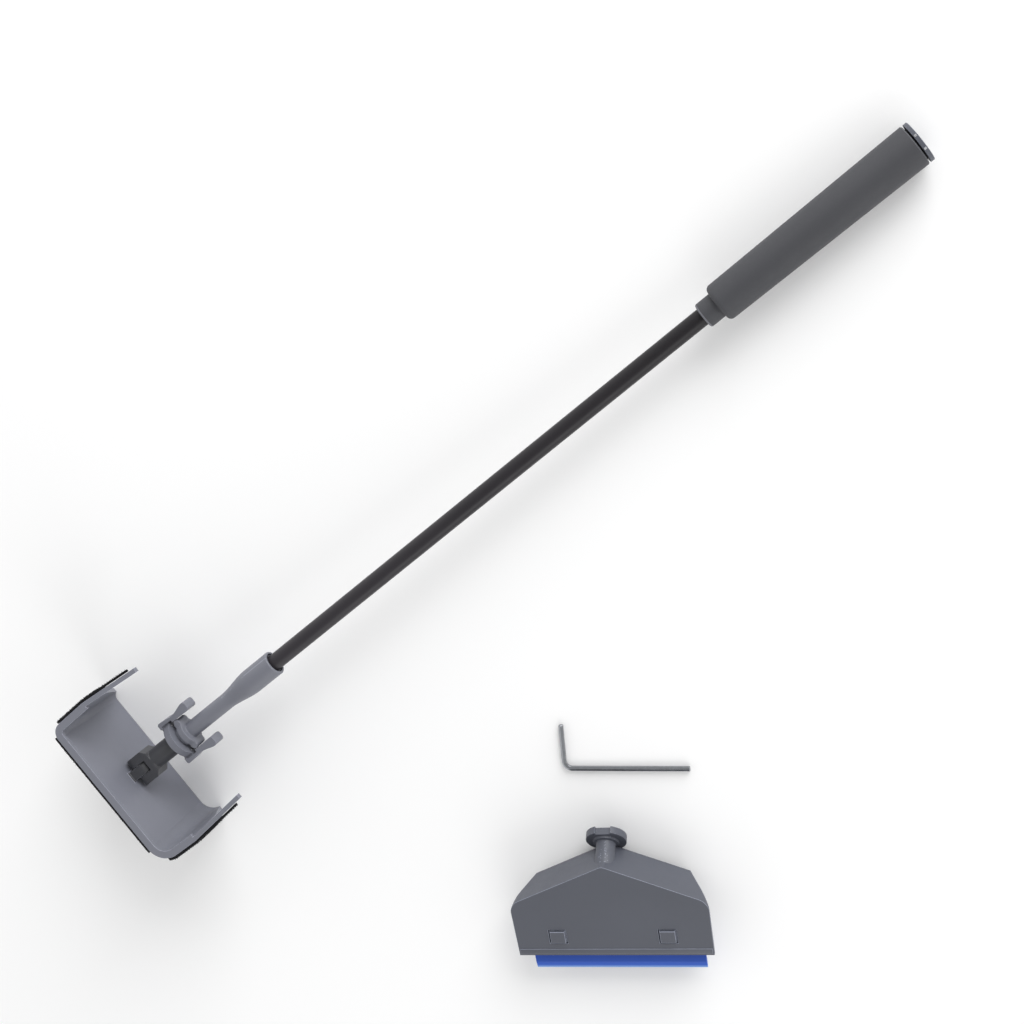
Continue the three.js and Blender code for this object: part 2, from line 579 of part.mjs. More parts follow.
function bladeHolder() {
  const core = block(...pocketSpan(GAP), GAP, POCKET_HEIGHT - GAP, ...pocketDepth(GAP));
  const tabs = [-WINDOW_X, WINDOW_X].map((x) => block(
    x - WINDOW_WIDTH / 2 + GAP, x + WINDOW_WIDTH / 2 - GAP,
    WINDOW_Y - WINDOW_HEIGHT / 2 + GAP, WINDOW_Y + WINDOW_HEIGHT / 2 - GAP,
    -SQUEEGEE_WALL - EPS, TAB_PROUD));
  const slot = block(...pocketSpan(-EPS), -EPS, BLADE_GRIPPED + GAP, ...bladeSlot());
  return cutBy(joined(core, ...tabs), slot);
}

function squeegeeBlade() {
  const thick = BLADE_THICK / 2;
  const lip = BLADE_LIP_THICK / 2;
  const section = [
    [BLADE_GRIPPED, -thick], [BLADE_GRIPPED, thick], [-BLADE_REACH + BLADE_LIP, thick],
    [-BLADE_REACH, lip], [-BLADE_REACH, -lip], [-BLADE_REACH + BLADE_LIP, -thick],
  ];
  const shape = new THREE.Shape(section.map(([y, z]) => new THREE.Vector2(y, z)));
  const strip = new THREE.ExtrudeGeometry(shape, { depth: BLADE_WIDTH, bevelEnabled: false });
  const cyclic = new THREE.Matrix4().makeBasis(
    new THREE.Vector3(0, 1, 0), new THREE.Vector3(0, 0, 1), new THREE.Vector3(1, 0, 0));
  return toSolid(strip.applyMatrix4(cyclic).translate(-BLADE_WIDTH / 2, 0, -BLADE_DEPTH));
}

// how far the squeegee leans when its back's foot edge and its disc's edge both touch the surface
function squeegeeLean() {
  const tilt = NECK_TILT * TURN;
  const along = NECK_LENGTH + DISC_THICK;
  const rim = Math.sqrt((DISC_DIAMETER / 2) ** 2 - (NOTCH_WIDTH / 2) ** 2);
  const y = NECK_ROOT_Y + along * Math.cos(tilt) - rim * Math.sin(tilt);
  const drop = NECK_ROOT_DEPTH + along * Math.sin(tilt) + rim * Math.cos(tilt) - SQUEEGEE_DEPTH;
  return Math.atan2(drop, y);
}

// ---------- hex key ----------
function hexKey() {
  const radius = KEY_SIZE / 2 / Math.cos(Math.PI / 6);
  const profile = new THREE.Shape();
  for (let s = 0; s < 6; s += 1) {
    const angle = Math.PI / 3 * s;
    profile.lineTo(radius * Math.cos(angle), radius * Math.sin(angle));
  }
  const corner = roundedPath([[KEY_LONG, 0], [0, 0], [0, KEY_SHORT]], [KEY_BEND]);
  const path = new THREE.CurvePath();
  for (let i = 1; i < corner.length; i += 1) {
    path.add(new THREE.LineCurve3(
      new THREE.Vector3(...corner[i - 1], 0), new THREE.Vector3(...corner[i], 0)));
  }
  const body = new THREE.ExtrudeGeometry(profile, { steps: 60, extrudePath: path, bevelEnabled: false });
  return toSolid(body.translate(0, 0, radius));
}

// ---------- assembly ----------
function poleTool() {
  const sleeve = ROD_DIAMETER + 2 * GAP; // bore of whatever goes round the rod
  const rod = pipe(ROD_DIAMETER, ROD_DIAMETER - 2 * ROD_WALL, ROD_START_X, ROD_END_X);
  const collar = pipe(COLLAR_DIAMETER, sleeve, COLLAR_X, GRIP_X + COLLAR_INSERT);
  const bush = pipe(GRIP_BORE - 2 * GAP, sleeve, ROD_END_X - BUSH_LENGTH, ROD_END_X);
  const tool = new THREE.Group();
  tool.add(
    toMesh('rod', rod, 'rod'),
    toMesh('grip', grip(), 'grip'),
    toMesh('grip_collar', collar, 'grip'),
    toMesh('rod_bush', bush, 'shell'),
    toMesh('grip_end_cap', gripEndCap(), 'darkPlastic'),
    toMesh('pole_socket', poleSocket(), 'shell'),
    toMesh('left_lever', releaseLever(1), 'shell'),
    toMesh('right_lever', releaseLever(-1), 'shell'),
    toMesh('lock_disc', lockDisc(), 'shell'),
    toMesh('head_stub', headStub(), 'darkPlastic'),
    toMesh('hinge_screw', hingeScrew(), 'steel'),
    toMesh('hinge_nut', hingeNut(), 'steel'),
    toMesh('head_shell', headShell(), 'shell'),
    ...hookStrips().map(([name, solid]) => toMesh(name, solid, 'hook')),
  );
  // it lies on the head's far edge and on the rear of the grip
  const rise = NEAR - GRIP_REAR_DIAMETER / 2;
  const lean = Math.atan2(rise, GRIP_END_X - LARGE_ROOT);
  tool.rotation.y = lean;
  tool.position.z = NEAR * Math.cos(lean) + LARGE_ROOT * Math.sin(lean);
  return tool;
}

function squeegeeHead() {
  const head = new THREE.Group();
  head.add(
    toMesh('squeegee_body', squeegeeBody(), 'shell'),
    toMesh('squeegee_blade_holder', bladeHolder(), 'shell'),
    toMesh('squeegee_blade', squeegeeBlade(), 'blade'),
  );
  head.rotation.x = squeegeeLean();
  head.position.z = SQUEEGEE_DEPTH * Math.cos(head.rotation.x);
  const placed = new THREE.Group();
  placed.add(head);
  placed.rotation.z = SQUEEGEE_TURN * TURN;
  placed.position.set(...SQUEEGEE_PLACE, 0);
  return placed;
}

function looseKey() {
  const key = toMesh('hex_key', hexKey(), 'steel');
  key.rotation.z = KEY_TURN * TURN;
  key.position.set(...KEY_PLACE, 0);
  return key;
}

const part = new THREE.Group();
part.add(poleTool(), squeegeeHead(), looseKey());
part.updateMatrixWorld(true);
const box = new THREE.Box3().setFromObject(part, true);
part.position.set(-(box.min.x + box.max.x) / 2, -(box.min.y + box.max.y) / 2, -box.min.z);

export default part;
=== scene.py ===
# %% [markdown]
# # A pole cleaner with clip-on heads
# A hand-held pole carries a U-shaped head on a tightening hinge. The head's outside is faced with
# hook strips that hold a cloth. A clip with two levers lets the head go, and a squeegee with the
# same notched disc takes its place. A hex key tightens the hinge.
#
# The mechanical model is loaded first as a fixed frame. Every visible piece is then made again with
# soft edges and fine detail, in the place of the plain one.

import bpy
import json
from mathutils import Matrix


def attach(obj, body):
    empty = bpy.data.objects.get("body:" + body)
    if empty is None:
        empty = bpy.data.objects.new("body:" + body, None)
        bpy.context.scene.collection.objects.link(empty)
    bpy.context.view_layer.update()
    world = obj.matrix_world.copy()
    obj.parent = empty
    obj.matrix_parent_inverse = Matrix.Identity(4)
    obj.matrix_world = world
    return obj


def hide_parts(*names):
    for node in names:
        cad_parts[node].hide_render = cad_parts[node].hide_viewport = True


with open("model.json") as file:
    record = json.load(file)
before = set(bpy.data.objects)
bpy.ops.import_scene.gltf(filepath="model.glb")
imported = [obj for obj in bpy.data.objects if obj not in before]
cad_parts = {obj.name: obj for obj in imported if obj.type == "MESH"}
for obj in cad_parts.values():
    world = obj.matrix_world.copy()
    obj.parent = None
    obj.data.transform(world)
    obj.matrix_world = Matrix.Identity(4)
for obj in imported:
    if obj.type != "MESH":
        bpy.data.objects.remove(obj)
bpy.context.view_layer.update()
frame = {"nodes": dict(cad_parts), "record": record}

# %% Modules
import bmesh
import bpy
import json
import math
from mathutils import Matrix, Vector

MM = 0.001

# %% [markdown]
# ## Working frames
# The pole lies a little askew, because the head is deeper than the grip. It is far easier to model
# along the pole, so the lengths below are in millimetres in the pole's own frame: x along the pole,
# y across it, z out of its side, with x = 0 on the inner face of the head's plate. The frame comes
# from the record's joints, so it follows the mechanical model exactly.

# %% The pole's frame
record = frame["record"]
joint_place = {
    joint["name"]: Vector(joint["pos_m"])
    for joint in record["behaviour"]["joints"]
    if "pos_m" in joint
}
HINGE_X = 8.5


def frame_of(origin, along, across):
    out = along.cross(across)
    spin = Matrix((along, across, out)).transposed().to_4x4()
    return Matrix.Translation(origin) @ spin @ Matrix.Scale(MM, 4)


hinge = joint_place["head_tilt"]
clip_middle = (joint_place["left_lever_press"] + joint_place["right_lever_press"]) / 2
along_pole = (clip_middle - hinge).normalized()
pole = frame_of(hinge - along_pole * HINGE_X * MM, along_pole, Vector((0, 1, 0)))


def span(node, place):
    """Lowest and highest corner of a CAD node in one of the working frames, in millimetres."""
    back = place.inverted()
    spots = [back @ vertex.co for vertex in frame["nodes"][node].data.vertices]
    low = Vector(min(spot[i] for spot in spots) for i in range(3))
    high = Vector(max(spot[i] for spot in spots) for i in range(3))
    return low, high


rod_low, rod_high = span("rod", pole)
print("rod from", round(rod_low.x, 2), "to", round(rod_high.x, 2), "mm")

# %% [markdown]
# ## Modelling helpers
# Moulded plastic is simple shapes joined, cut and then softened. These helpers make the simple
# shapes with bmesh, join and cut them with the Boolean modifier, and soften them in one of two
# ways. `bevelled` rounds the sharp edges and keeps flat faces flat. `melted` rebuilds the skin with
# the voxel remesher and smooths it, which gives the small fillets of a moulding where shapes meet.

# %% Shapes
ROUND = 96
collection = bpy.context.scene.collection


def new_piece(name, shape):
    bmesh.ops.remove_doubles(shape, verts=shape.verts, dist=1e-5)
    bmesh.ops.recalc_face_normals(shape, faces=shape.faces)
    mesh = bpy.data.meshes.new(name)
    shape.to_mesh(mesh)
    shape.free()
    piece = bpy.data.objects.new(name, mesh)
    collection.objects.link(piece)
    return piece


def skin(shape, rings):
    """Faces between each ring of points and the next."""
    for first, second in zip(rings, rings[1:]):
        for i in range(len(first)):
            j = (i + 1) % len(first)
            shape.faces.new((first[i], first[j], second[j], second[i]))


def turned(name, profile, sides=ROUND, hollow=False):
    """Turns (radius, x) points about the x axis. A hollow profile closes on itself."""
    shape = bmesh.new()
    rings = []
    for radius, x in profile:
        ring = []
        for step in range(sides):
            angle = 2 * math.pi * step / sides
            ring.append(shape.verts.new((x, radius * math.cos(angle), radius * math.sin(angle))))
        rings.append(ring)
    skin(shape, rings + rings[:1] if hollow else rings)
    if not hollow:
        shape.faces.new(rings[0])
        shape.faces.new(rings[-1])
    return new_piece(name, shape)


def plate(name, outline, low, high, lie="xy"):
    """Raises an outline between two heights. It lies in x and y, or stands in x and z."""
    shape = bmesh.new()
    ends = []
    for height in (low, high):
        spots = [(a, b, height) if lie == "xy" else (a, height, b) for a, b in outline]
        ends.append([shape.verts.new(spot) for spot in spots])
    shape.faces.new(ends[0])
    shape.faces.new(ends[1])
    skin(shape, ends)
    return new_piece(name, shape)


def brick(low, high):
    outline = [(low[0], low[1]), (high[0], low[1]), (high[0], high[1]), (low[0], high[1])]
    return plate("brick", outline, low[2], high[2])


def pin(name, diameter, low, high, x, sides=48):
    """A round or flat-sided bar along y."""
    ring = []
    for step in range(sides):
        angle = 2 * math.pi * (step + 0.5) / sides
        ring.append((x + diameter / 2 * math.cos(angle), diameter / 2 * math.sin(angle)))
    return plate(name, ring, low, high, lie="xz")


# %% Joining, cutting and softening
def bake(piece):
    """Turns what the modifiers make into the piece's own mesh."""
    view = bpy.context.evaluated_depsgraph_get()
    made = bpy.data.meshes.new_from_object(piece.evaluated_get(view))
    piece.modifiers.clear()
    old = piece.data
    piece.data = made
    bpy.data.meshes.remove(old)
    return piece


def combined(piece, add=(), cut=(), within=()):
    """Joins shapes on, then cuts shapes away, then keeps only what lies within others."""
    for others, operation in ((add, "UNION"), (cut, "DIFFERENCE"), (within, "INTERSECT")):
        for other in others:
            step = piece.modifiers.new(operation.lower(), "BOOLEAN")
            step.operation = operation
            step.solver = "EXACT"
            step.object = other
            bake(piece)
            bpy.data.objects.remove(other)
    return piece


def tidy(piece):
    shape = bmesh.new()
    shape.from_mesh(piece.data)
    bmesh.ops.remove_doubles(shape, verts=shape.verts, dist=0.004)
    bmesh.ops.dissolve_limit(
        shape, angle_limit=math.radians(0.4), verts=shape.verts, edges=shape.edges
    )
    shape.to_mesh(piece.data)
    shape.free()
    return piece


def mark_faces(piece, name, values):
    mark = piece.data.attributes.new(name, "FLOAT", "FACE")
    mark.data.foreach_set("value", values)


def mark_points(piece, name, rule):
    """Stores a number at each point, worked out from the point's place."""
    mark = piece.data.attributes.new(name, "FLOAT", "POINT")
    for vertex in piece.data.vertices:
        mark.data[vertex.index].value = rule(vertex.co)


def bevelled(piece, width, segments=3, sharper_than=32, flat_above=None):
    """Rounds the sharp edges and marks the new faces. Faces above a given area can stay flat."""
    tidy(piece)
    piece.data.materials.clear()
    for _ in range(2):
        piece.data.materials.append(None)
    piece.data.polygons.foreach_set("material_index", [0] * len(piece.data.polygons))
    edge = piece.modifiers.new("edge", "BEVEL")
    edge.width = width
    edge.segments = segments
    edge.limit_method = "ANGLE"
    edge.angle_limit = math.radians(sharper_than)
    edge.use_clamp_overlap = True
    edge.material = 1
    bake(piece)
    faces = piece.data.polygons
    mark_faces(piece, "edge", [float(face.material_index == 1) for face in faces])
    faces.foreach_set("material_index", [0] * len(faces))
    piece.data.shade_smooth()
    if flat_above is not None:
        faces.foreach_set("use_smooth", [face.area < flat_above for face in faces])
        return piece
    flow = piece.modifiers.new("flow", "WEIGHTED_NORMAL")
    flow.keep_sharp = True
    return bake(piece)


def melted(piece, grain, rounds):
    """Rebuilds the skin from small cubes and smooths it, then marks the faces as dense."""
    cubes = piece.modifiers.new("cubes", "REMESH")
    cubes.mode = "VOXEL"
    cubes.voxel_size = grain
    ease = piece.modifiers.new("ease", "SMOOTH")
    ease.factor = 0.5
    ease.iterations = rounds
    bake(piece)
    piece.data.shade_smooth()
    mark_faces(piece, "dense", [1.0] * len(piece.data.polygons))
    return piece


def finish(piece, place, node, body, material):
    piece.data.transform(place)
    piece.data.materials.clear()
    piece.data.materials.append(material)
    piece.name = node + "_fine"
    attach(piece, body)
    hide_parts(node)
    print(piece.name, len(piece.data.polygons), "faces")
    return piece


def dress(piece, place, material, inside):
    """Gives a further finish to the faces whose middle passes a test in the working frame."""
    piece.data.materials.append(material)
    back = place.inverted()
    for face in piece.data.polygons:
        if inside(back @ face.center):
            face.material_index = len(piece.data.materials) - 1


# %% [markdown]
# ## Finishes
# Each finish is a small node tree on Object coordinates, so its grain has a real size and stays with
# the piece. `moulded` gives the parts that the plastics share: a slow drift of the colour, a fine
# grain that feeds the bump, and a lighter tint along the edges, partly edge wear and partly a painted
# highlight. Those edges are the faces that `bevelled` marked. A melted skin is fine enough to find
# them by how far the surface bulges.

# %% Node helpers
def link_in(tree, source, target):
    tree.links.new(source, target)


def noise(tree, size, detail, rough=0.5):
    """Noise whose blobs are about `size` millimetres across."""
    spots = tree.nodes.new("ShaderNodeTexCoord")
    grains = tree.nodes.new("ShaderNodeTexNoise")
    grains.inputs["Scale"].default_value = 1 / (size * MM)
    grains.inputs["Detail"].default_value = detail
    grains.inputs["Roughness"].default_value = rough
    link_in(tree, spots.outputs["Object"], grains.inputs["Vector"])
    return grains.outputs["Fac"]


def ramp(tree, value, low, high, bottom=0.0, top=1.0):
    scale = tree.nodes.new("ShaderNodeMapRange")
    for name, number in (("From Min", low), ("From Max", high), ("To Min", bottom), ("To Max", top)):
        scale.inputs[name].default_value = number
    link_in(tree, value, scale.inputs["Value"])
    return scale.outputs["Result"]


def blend(tree, factor, first, second):
    """Mixes two colours. Each is a colour or another node's output."""
    mix = tree.nodes.new("ShaderNodeMix")
    mix.data_type = "RGBA"
    link_in(tree, factor, mix.inputs[0])
    for socket, colour in ((mix.inputs[6], first), (mix.inputs[7], second)):
        if isinstance(colour, bpy.types.NodeSocket):
            link_in(tree, colour, socket)
        else:
            socket.default_value = (*colour, 1)
    return mix.outputs[2]


def shade(colour, amount):
    return tuple(min(1, channel * amount) for channel in colour)


def stored(tree, name):
    """A number that the mesh stores for each face or point."""
    mark = tree.nodes.new("ShaderNodeAttribute")
    mark.attribute_name = name
    return mark.outputs["Fac"]


def times(tree, value, factor):
    product = tree.nodes.new("ShaderNodeMath")
    product.operation = "MULTIPLY"
    link_in(tree, value, product.inputs[0])
    if isinstance(factor, bpy.types.NodeSocket):
        link_in(tree, factor, product.inputs[1])
    else:
        product.inputs[1].default_value = factor
    return product.outputs[0]


def bump(tree, height, depth, below=None):
    """Bump of a depth in millimetres, on top of another bump if there is one."""
    relief = tree.nodes.new("ShaderNodeBump")
    relief.inputs["Distance"].default_value = depth * MM
    relief.inputs["Strength"].default_value = 1.0
    link_in(tree, height, relief.inputs["Height"])
    if below is not None:
        link_in(tree, below, relief.inputs["Normal"])
    return relief.outputs["Normal"]


def start_material(name, metallic=0.0, specular=0.5):
    material = bpy.data.materials.new(name + "_fine")
    material.use_nodes = True
    tree = material.node_tree
    shader = tree.nodes["Principled BSDF"]
    shader.inputs["Metallic"].default_value = metallic
    shader.inputs["Specular IOR Level"].default_value = specular
    return material, tree, shader


def moulded(name, colour, rough, wear_and_highlight=2.0, drift=0.08, grain=0.35, depth=0.02, specular=0.5,
            far_colour=None):
    """A moulded or painted finish with drift, edges lightened as wear and as a painted highlight, a fine
    grain and faint scuffs.
    """
    material, tree, shader = start_material(name, specular=specular)
    slow = noise(tree, 45, detail=3)
    base = blend(tree, slow, shade(colour, 1 - drift), shade(colour, 1 + drift))
    if far_colour is not None:
        base = blend(tree, stored(tree, "run"), base, far_colour)
    fine = noise(tree, grain, detail=3, rough=0.6)
    base = blend(tree, ramp(tree, fine, 0.35, 0.75, 0, 0.35), base, shade(colour, 0.86))
    bulge = tree.nodes.new("ShaderNodeNewGeometry").outputs["Pointiness"]
    bulge = times(tree, ramp(tree, bulge, 0.53, 0.62), stored(tree, "dense"))
    # The edges are lightened, partly as wear and partly as a painted highlight.
    base = blend(tree, times(tree, bulge, 0.6), base, shade(colour, wear_and_highlight))
    base = blend(tree, times(tree, stored(tree, "edge"), 0.85), base, shade(colour, wear_and_highlight))
    link_in(tree, base, shader.inputs["Base Color"])
    scuff = noise(tree, 9, detail=8, rough=0.75)
    link_in(tree, ramp(tree, scuff, 0.3, 0.75, *rough), shader.inputs["Roughness"])
    relief = bump(tree, fine, depth)
    relief = bump(tree, noise(tree, 14, detail=5, rough=0.6), 0.025, relief)
    link_in(tree, relief, shader.inputs["Normal"])
    return material


# %% The finishes
SHELL_GREY = (0.17, 0.176, 0.208)
STUB_GREY = (0.055, 0.056, 0.062)
GRIP_GREY = (0.05, 0.051, 0.058)
ROD_BLACK = (0.007, 0.0064, 0.0066)
ROD_PAINTED_LIGHT_GREY = (0.034, 0.031, 0.036)
CLEANER_GREY = (0.08, 0.086, 0.107)

shell_plastic = moulded("shell_plastic", SHELL_GREY, rough=(0.38, 0.55), wear_and_highlight=2.6)
clip_plastic = moulded("clip_plastic", shade(SHELL_GREY, 0.93), rough=(0.36, 0.52), wear_and_highlight=1.7)
cleaner_plastic = moulded("cleaner_plastic", CLEANER_GREY, rough=(0.4, 0.55), wear_and_highlight=3.4, drift=0.12)
stub_plastic = moulded("stub_plastic", STUB_GREY, rough=(0.34, 0.5), wear_and_highlight=1.6)
grip_plastic = moulded("grip_plastic", GRIP_GREY, rough=(0.55, 0.72), grain=0.5, depth=0.05, wear_and_highlight=3.4)
# The rod's paint is greyer towards the socket as painted light and black towards the grip.
rod_paint = moulded(
    "rod_paint", ROD_PAINTED_LIGHT_GREY, drift=0.15, rough=(0.3, 0.44), grain=0.8, depth=0.012, specular=0.25,
    far_colour=ROD_BLACK,
)


def hook_black():
    material, tree, shader = start_material("hook_black", specular=0.16)
    weave = noise(tree, 0.8, detail=4)
    dusty = noise(tree, 22, detail=4)
    base = blend(tree, weave, (0.004, 0.004, 0.005), (0.012, 0.012, 0.014))
    base = blend(tree, ramp(tree, dusty, 0.5, 0.8, 0, 0.3), base, (0.028, 0.028, 0.032))
    link_in(tree, base, shader.inputs["Base Color"])
    link_in(tree, ramp(tree, weave, 0.3, 0.7, 0.6, 0.85), shader.inputs["Roughness"])
    link_in(tree, bump(tree, weave, 0.15), shader.inputs["Normal"])
    return material


def plated(name, colour, rough):
    """Bright plating with fine drawing marks and small dull spots."""
    material, tree, shader = start_material(name, metallic=1.0)
    spots = noise(tree, 2.5, detail=6, rough=0.7)
    fine = noise(tree, 0.25, detail=3)
    base = blend(tree, spots, shade(colour, 0.8), shade(colour, 1.12))
    link_in(tree, base, shader.inputs["Base Color"])
    link_in(tree, ramp(tree, spots, 0.3, 0.75, rough, rough + 0.14), shader.inputs["Roughness"])
    link_in(tree, bump(tree, fine, 0.008), shader.inputs["Normal"])
    return material


def blade_rubber():
    """Blue rubber: darkened as painted shadow of the body where the holder grips it, bright at the thin
    lip.
    """
    material, tree, shader = start_material("blade_rubber", specular=0.22)
    toward_lip = stored(tree, "reach")
    cloudy = noise(tree, 12, detail=4)
    # The darker blue away from the lip is painted shadow of the body.
    painted_shadow_blue = blend(tree, cloudy, (0.012, 0.044, 0.27), (0.019, 0.06, 0.33))
    base = blend(tree, ramp(tree, toward_lip, 0.45, 0.8), painted_shadow_blue, (0.03, 0.105, 0.52))
    base = blend(tree, ramp(tree, toward_lip, 0.86, 1.0), base, (0.24, 0.42, 0.8))
    link_in(tree, base, shader.inputs["Base Color"])
    link_in(tree, ramp(tree, cloudy, 0.3, 0.7, 0.34, 0.5), shader.inputs["Roughness"])
    link_in(tree, bump(tree, noise(tree, 0.6, detail=3), 0.02), shader.inputs["Normal"])
    return material


hook_pile = hook_black()
screw_zinc = plated("screw_zinc", (0.55, 0.56, 0.58), 0.26)
key_nickel = plated("key_nickel", (0.3, 0.31, 0.33), 0.14)
blade_blue = blade_rubber()
print("finishes", len(bpy.data.materials))

# %% [markdown]
# ## The U-shaped head
# On the real tool this is one moulding: a plate with two sides that end in slim fingers. Its outline
# is one open line with a tight corner on one side and a wide one on the other. The wall is that line
# given a thickness, so the line is rounded first and then moved sideways, twice.

# %% The head's outline
CORNER_Y, BEND_Y, TIP_Y = 57, 57.8, 53.6
BEND_X, ARM_REACH = 28.8, 74
WALL = 3
SMALL_CORNER, LARGE_CORNER, BEND_RADIUS = 8, 14, 9
NEAR = span("head_shell", pole)[1].z
GAP = 0.3
ARC_STEPS = 14

head_line = [
    (ARM_REACH, TIP_Y), (BEND_X, BEND_Y), (-WALL, CORNER_Y),
    (-WALL, -CORNER_Y), (BEND_X, -BEND_Y), (ARM_REACH, -TIP_Y),
]
head_radii = [BEND_RADIUS, SMALL_CORNER, LARGE_CORNER, BEND_RADIUS]


def moved(line, distance):
    """The same open line moved to its left."""
    result = []
    for i, spot in enumerate(line):
        sides = []
        for a, b in ((max(i - 1, 0), max(i, 1)), (min(i, len(line) - 2), min(i + 1, len(line) - 1))):
            run = Vector(line[b]) - Vector(line[a])
            sides.append(Vector((-run.y, run.x)).normalized())
        spread = 1 + sides[0].dot(sides[1])
        result.append(tuple(Vector(spot) + (sides[0] + sides[1]) * distance / spread))
    return result


def rounded(line, radii, steps=ARC_STEPS):
    """The same open line with each of its corners as an arc, of so many steps to the right angle."""
    path = [line[0]]
    for before, spot, after, radius in zip(line, line[1:], line[2:], radii):
        corner = Vector(spot)
        back = (Vector(before) - corner).normalized()
        ahead = (Vector(after) - corner).normalized()
        half = back.angle(ahead) / 2
        centre = corner + (back + ahead).normalized() * radius / math.sin(half)
        start = corner + back * radius / math.tan(half) - centre
        end = corner + ahead * radius / math.tan(half) - centre
        sweep = math.atan2(start.x * end.y - start.y * end.x, start.dot(end))
        count = max(2, round(steps * abs(sweep) / (math.pi / 2)))
        for step in range(count + 1):
            turn = Matrix.Rotation(sweep * step / count, 2)
            path.append(tuple(centre + turn @ start))
    return path + [line[-1]]


def band(line, radii, inner, outer):
    """A closed outline between two distances inside the head's line."""
    edges = []
    for distance in (outer, inner):
        shrunk = [max(radius - distance, 0.6) for radius in radii]
        edges.append(rounded(moved(line, distance), shrunk))
    return edges[0] + edges[1][::-1]


# %% [markdown]
# ## Slanted arms
# The sides are full depth only at the plate. A slanted edge runs up to the near edge, where a slim
# finger is left. It is cut by a plate in side view, with a soft corner where the finger starts. The
# hook strips are cut by the same shape, moved back a little.

# %% The slanted cut
GUSSET_BACK, FINGER_LENGTH, FINGER_DEPTH, GUSSET_SOFT = 5, 34, 3.5, 9
EPS = 1


def gusset_cut(corner, back, side):
    root = corner - GUSSET_BACK
    bend = (ARM_REACH - FINGER_LENGTH + root / 2 - back, NEAR - FINGER_DEPTH + back)
    edge = rounded(
        [(root - back, -NEAR - EPS), bend, (ARM_REACH + EPS, NEAR - FINGER_DEPTH + back)],
        [GUSSET_SOFT],
    )
    outline = edge + [(ARM_REACH + EPS, -NEAR - EPS)]
    low, high = sorted((side * 20, side * (BEND_Y + 8)))
    return plate("gusset_cut", outline, low, high, lie="xz")


def gusset_cuts(back=0):
    return [gusset_cut(SMALL_CORNER, back, 1), gusset_cut(LARGE_CORNER, back, -1)]


# %% [markdown]
# ## The head's shell
# The near edge is thickened inwards and ends in a small step where the sides bend. The lug in the
# middle takes the hinge screw between the fork's two ears. A real lug grows out of the plate on a
# small fillet, so it is drawn as a tangent wedge in side view with a low foot round it. The lug's
# faces get the fork's dark finish as painted shade, for the shadow between the fork's ears.

# %% Build the shell
LIP_THICK, LIP_DEPTH = 5, 2.6
LUG_RADIUS, LUG_WIDTH, LUG_ROOT = 6.2, 7, 13
LUG_FOOT_HALF, LUG_FOOT_HEIGHT, LUG_FOOT_SIDE = 8, 0.45, 4.2
GATE_PLACE = (1.9, -3, NEAR - 1.8)
SCREW_HOLE = 4.6


def lug_outline(radius, foot):
    reach = math.hypot(HINGE_X, foot)
    touch = math.atan2(foot, -HINGE_X) - math.acos(radius / reach)
    outline = [(-WALL / 2, foot), (-WALL / 2, -foot), (0, -foot)]
    for step in range(2 * ARC_STEPS + 1):
        angle = -touch + touch * step / ARC_STEPS
        outline.append((HINGE_X + radius * math.cos(angle), radius * math.sin(angle)))
    return outline + [(0, foot)]


def head_shell():
    shell = plate("head_shell", band(head_line, head_radii, WALL, 0), -NEAR, NEAR)
    lip_band = band(head_line[1:-1], head_radii[1:-1], LIP_THICK, WALL / 2)
    lip = plate("lip", lip_band, NEAR - LIP_DEPTH, NEAR)
    lug = plate("lug", lug_outline(LUG_RADIUS, LUG_ROOT / 2), -LUG_WIDTH / 2, LUG_WIDTH / 2, lie="xz")
    foot = brick(
        (-WALL / 2, -LUG_FOOT_SIDE, -LUG_FOOT_HALF), (LUG_FOOT_HEIGHT, LUG_FOOT_SIDE, LUG_FOOT_HALF)
    )
    hole = pin("hole", SCREW_HOLE, -LUG_WIDTH, LUG_WIDTH, HINGE_X)
    gate = turned("gate", [(1.5, -0.5), (1.5, 0.0), (1.1, 0.3)], sides=32)
    gate.data.transform(Matrix.Translation(GATE_PLACE))
    bevelled(combined(shell, add=[lip], cut=gusset_cuts()), width=0.75, segments=3, flat_above=150)
    bevelled(combined(lug, add=[foot], cut=[hole]), width=0.3, segments=3, flat_above=40)
    return combined(shell, add=[lug, gate])


def lug_in_painted_shade(spot):
    return spot.x > GAP and abs(spot.y) < LUG_WIDTH / 2 + 0.1 and abs(spot.z) < LUG_FOOT_HALF + EPS


shell = finish(head_shell(), pole, "head_shell", "head", shell_plastic)
# The lug's faces take the dark fork finish as painted shade between the fork's ears.
dress(shell, pole, stub_plastic, lug_in_painted_shade)

# %% [markdown]
# ## Hook strips
# A hook strip is a thin backing with thousands of tiny bent hooks. That is a job for Geometry Nodes:
# points are spread over the outer faces at an even distance, and a small bent stem stands on each.
# The stems are turned at random with a fixed seed. The result is realized and baked, so that each
# strip ends as a plain mesh.

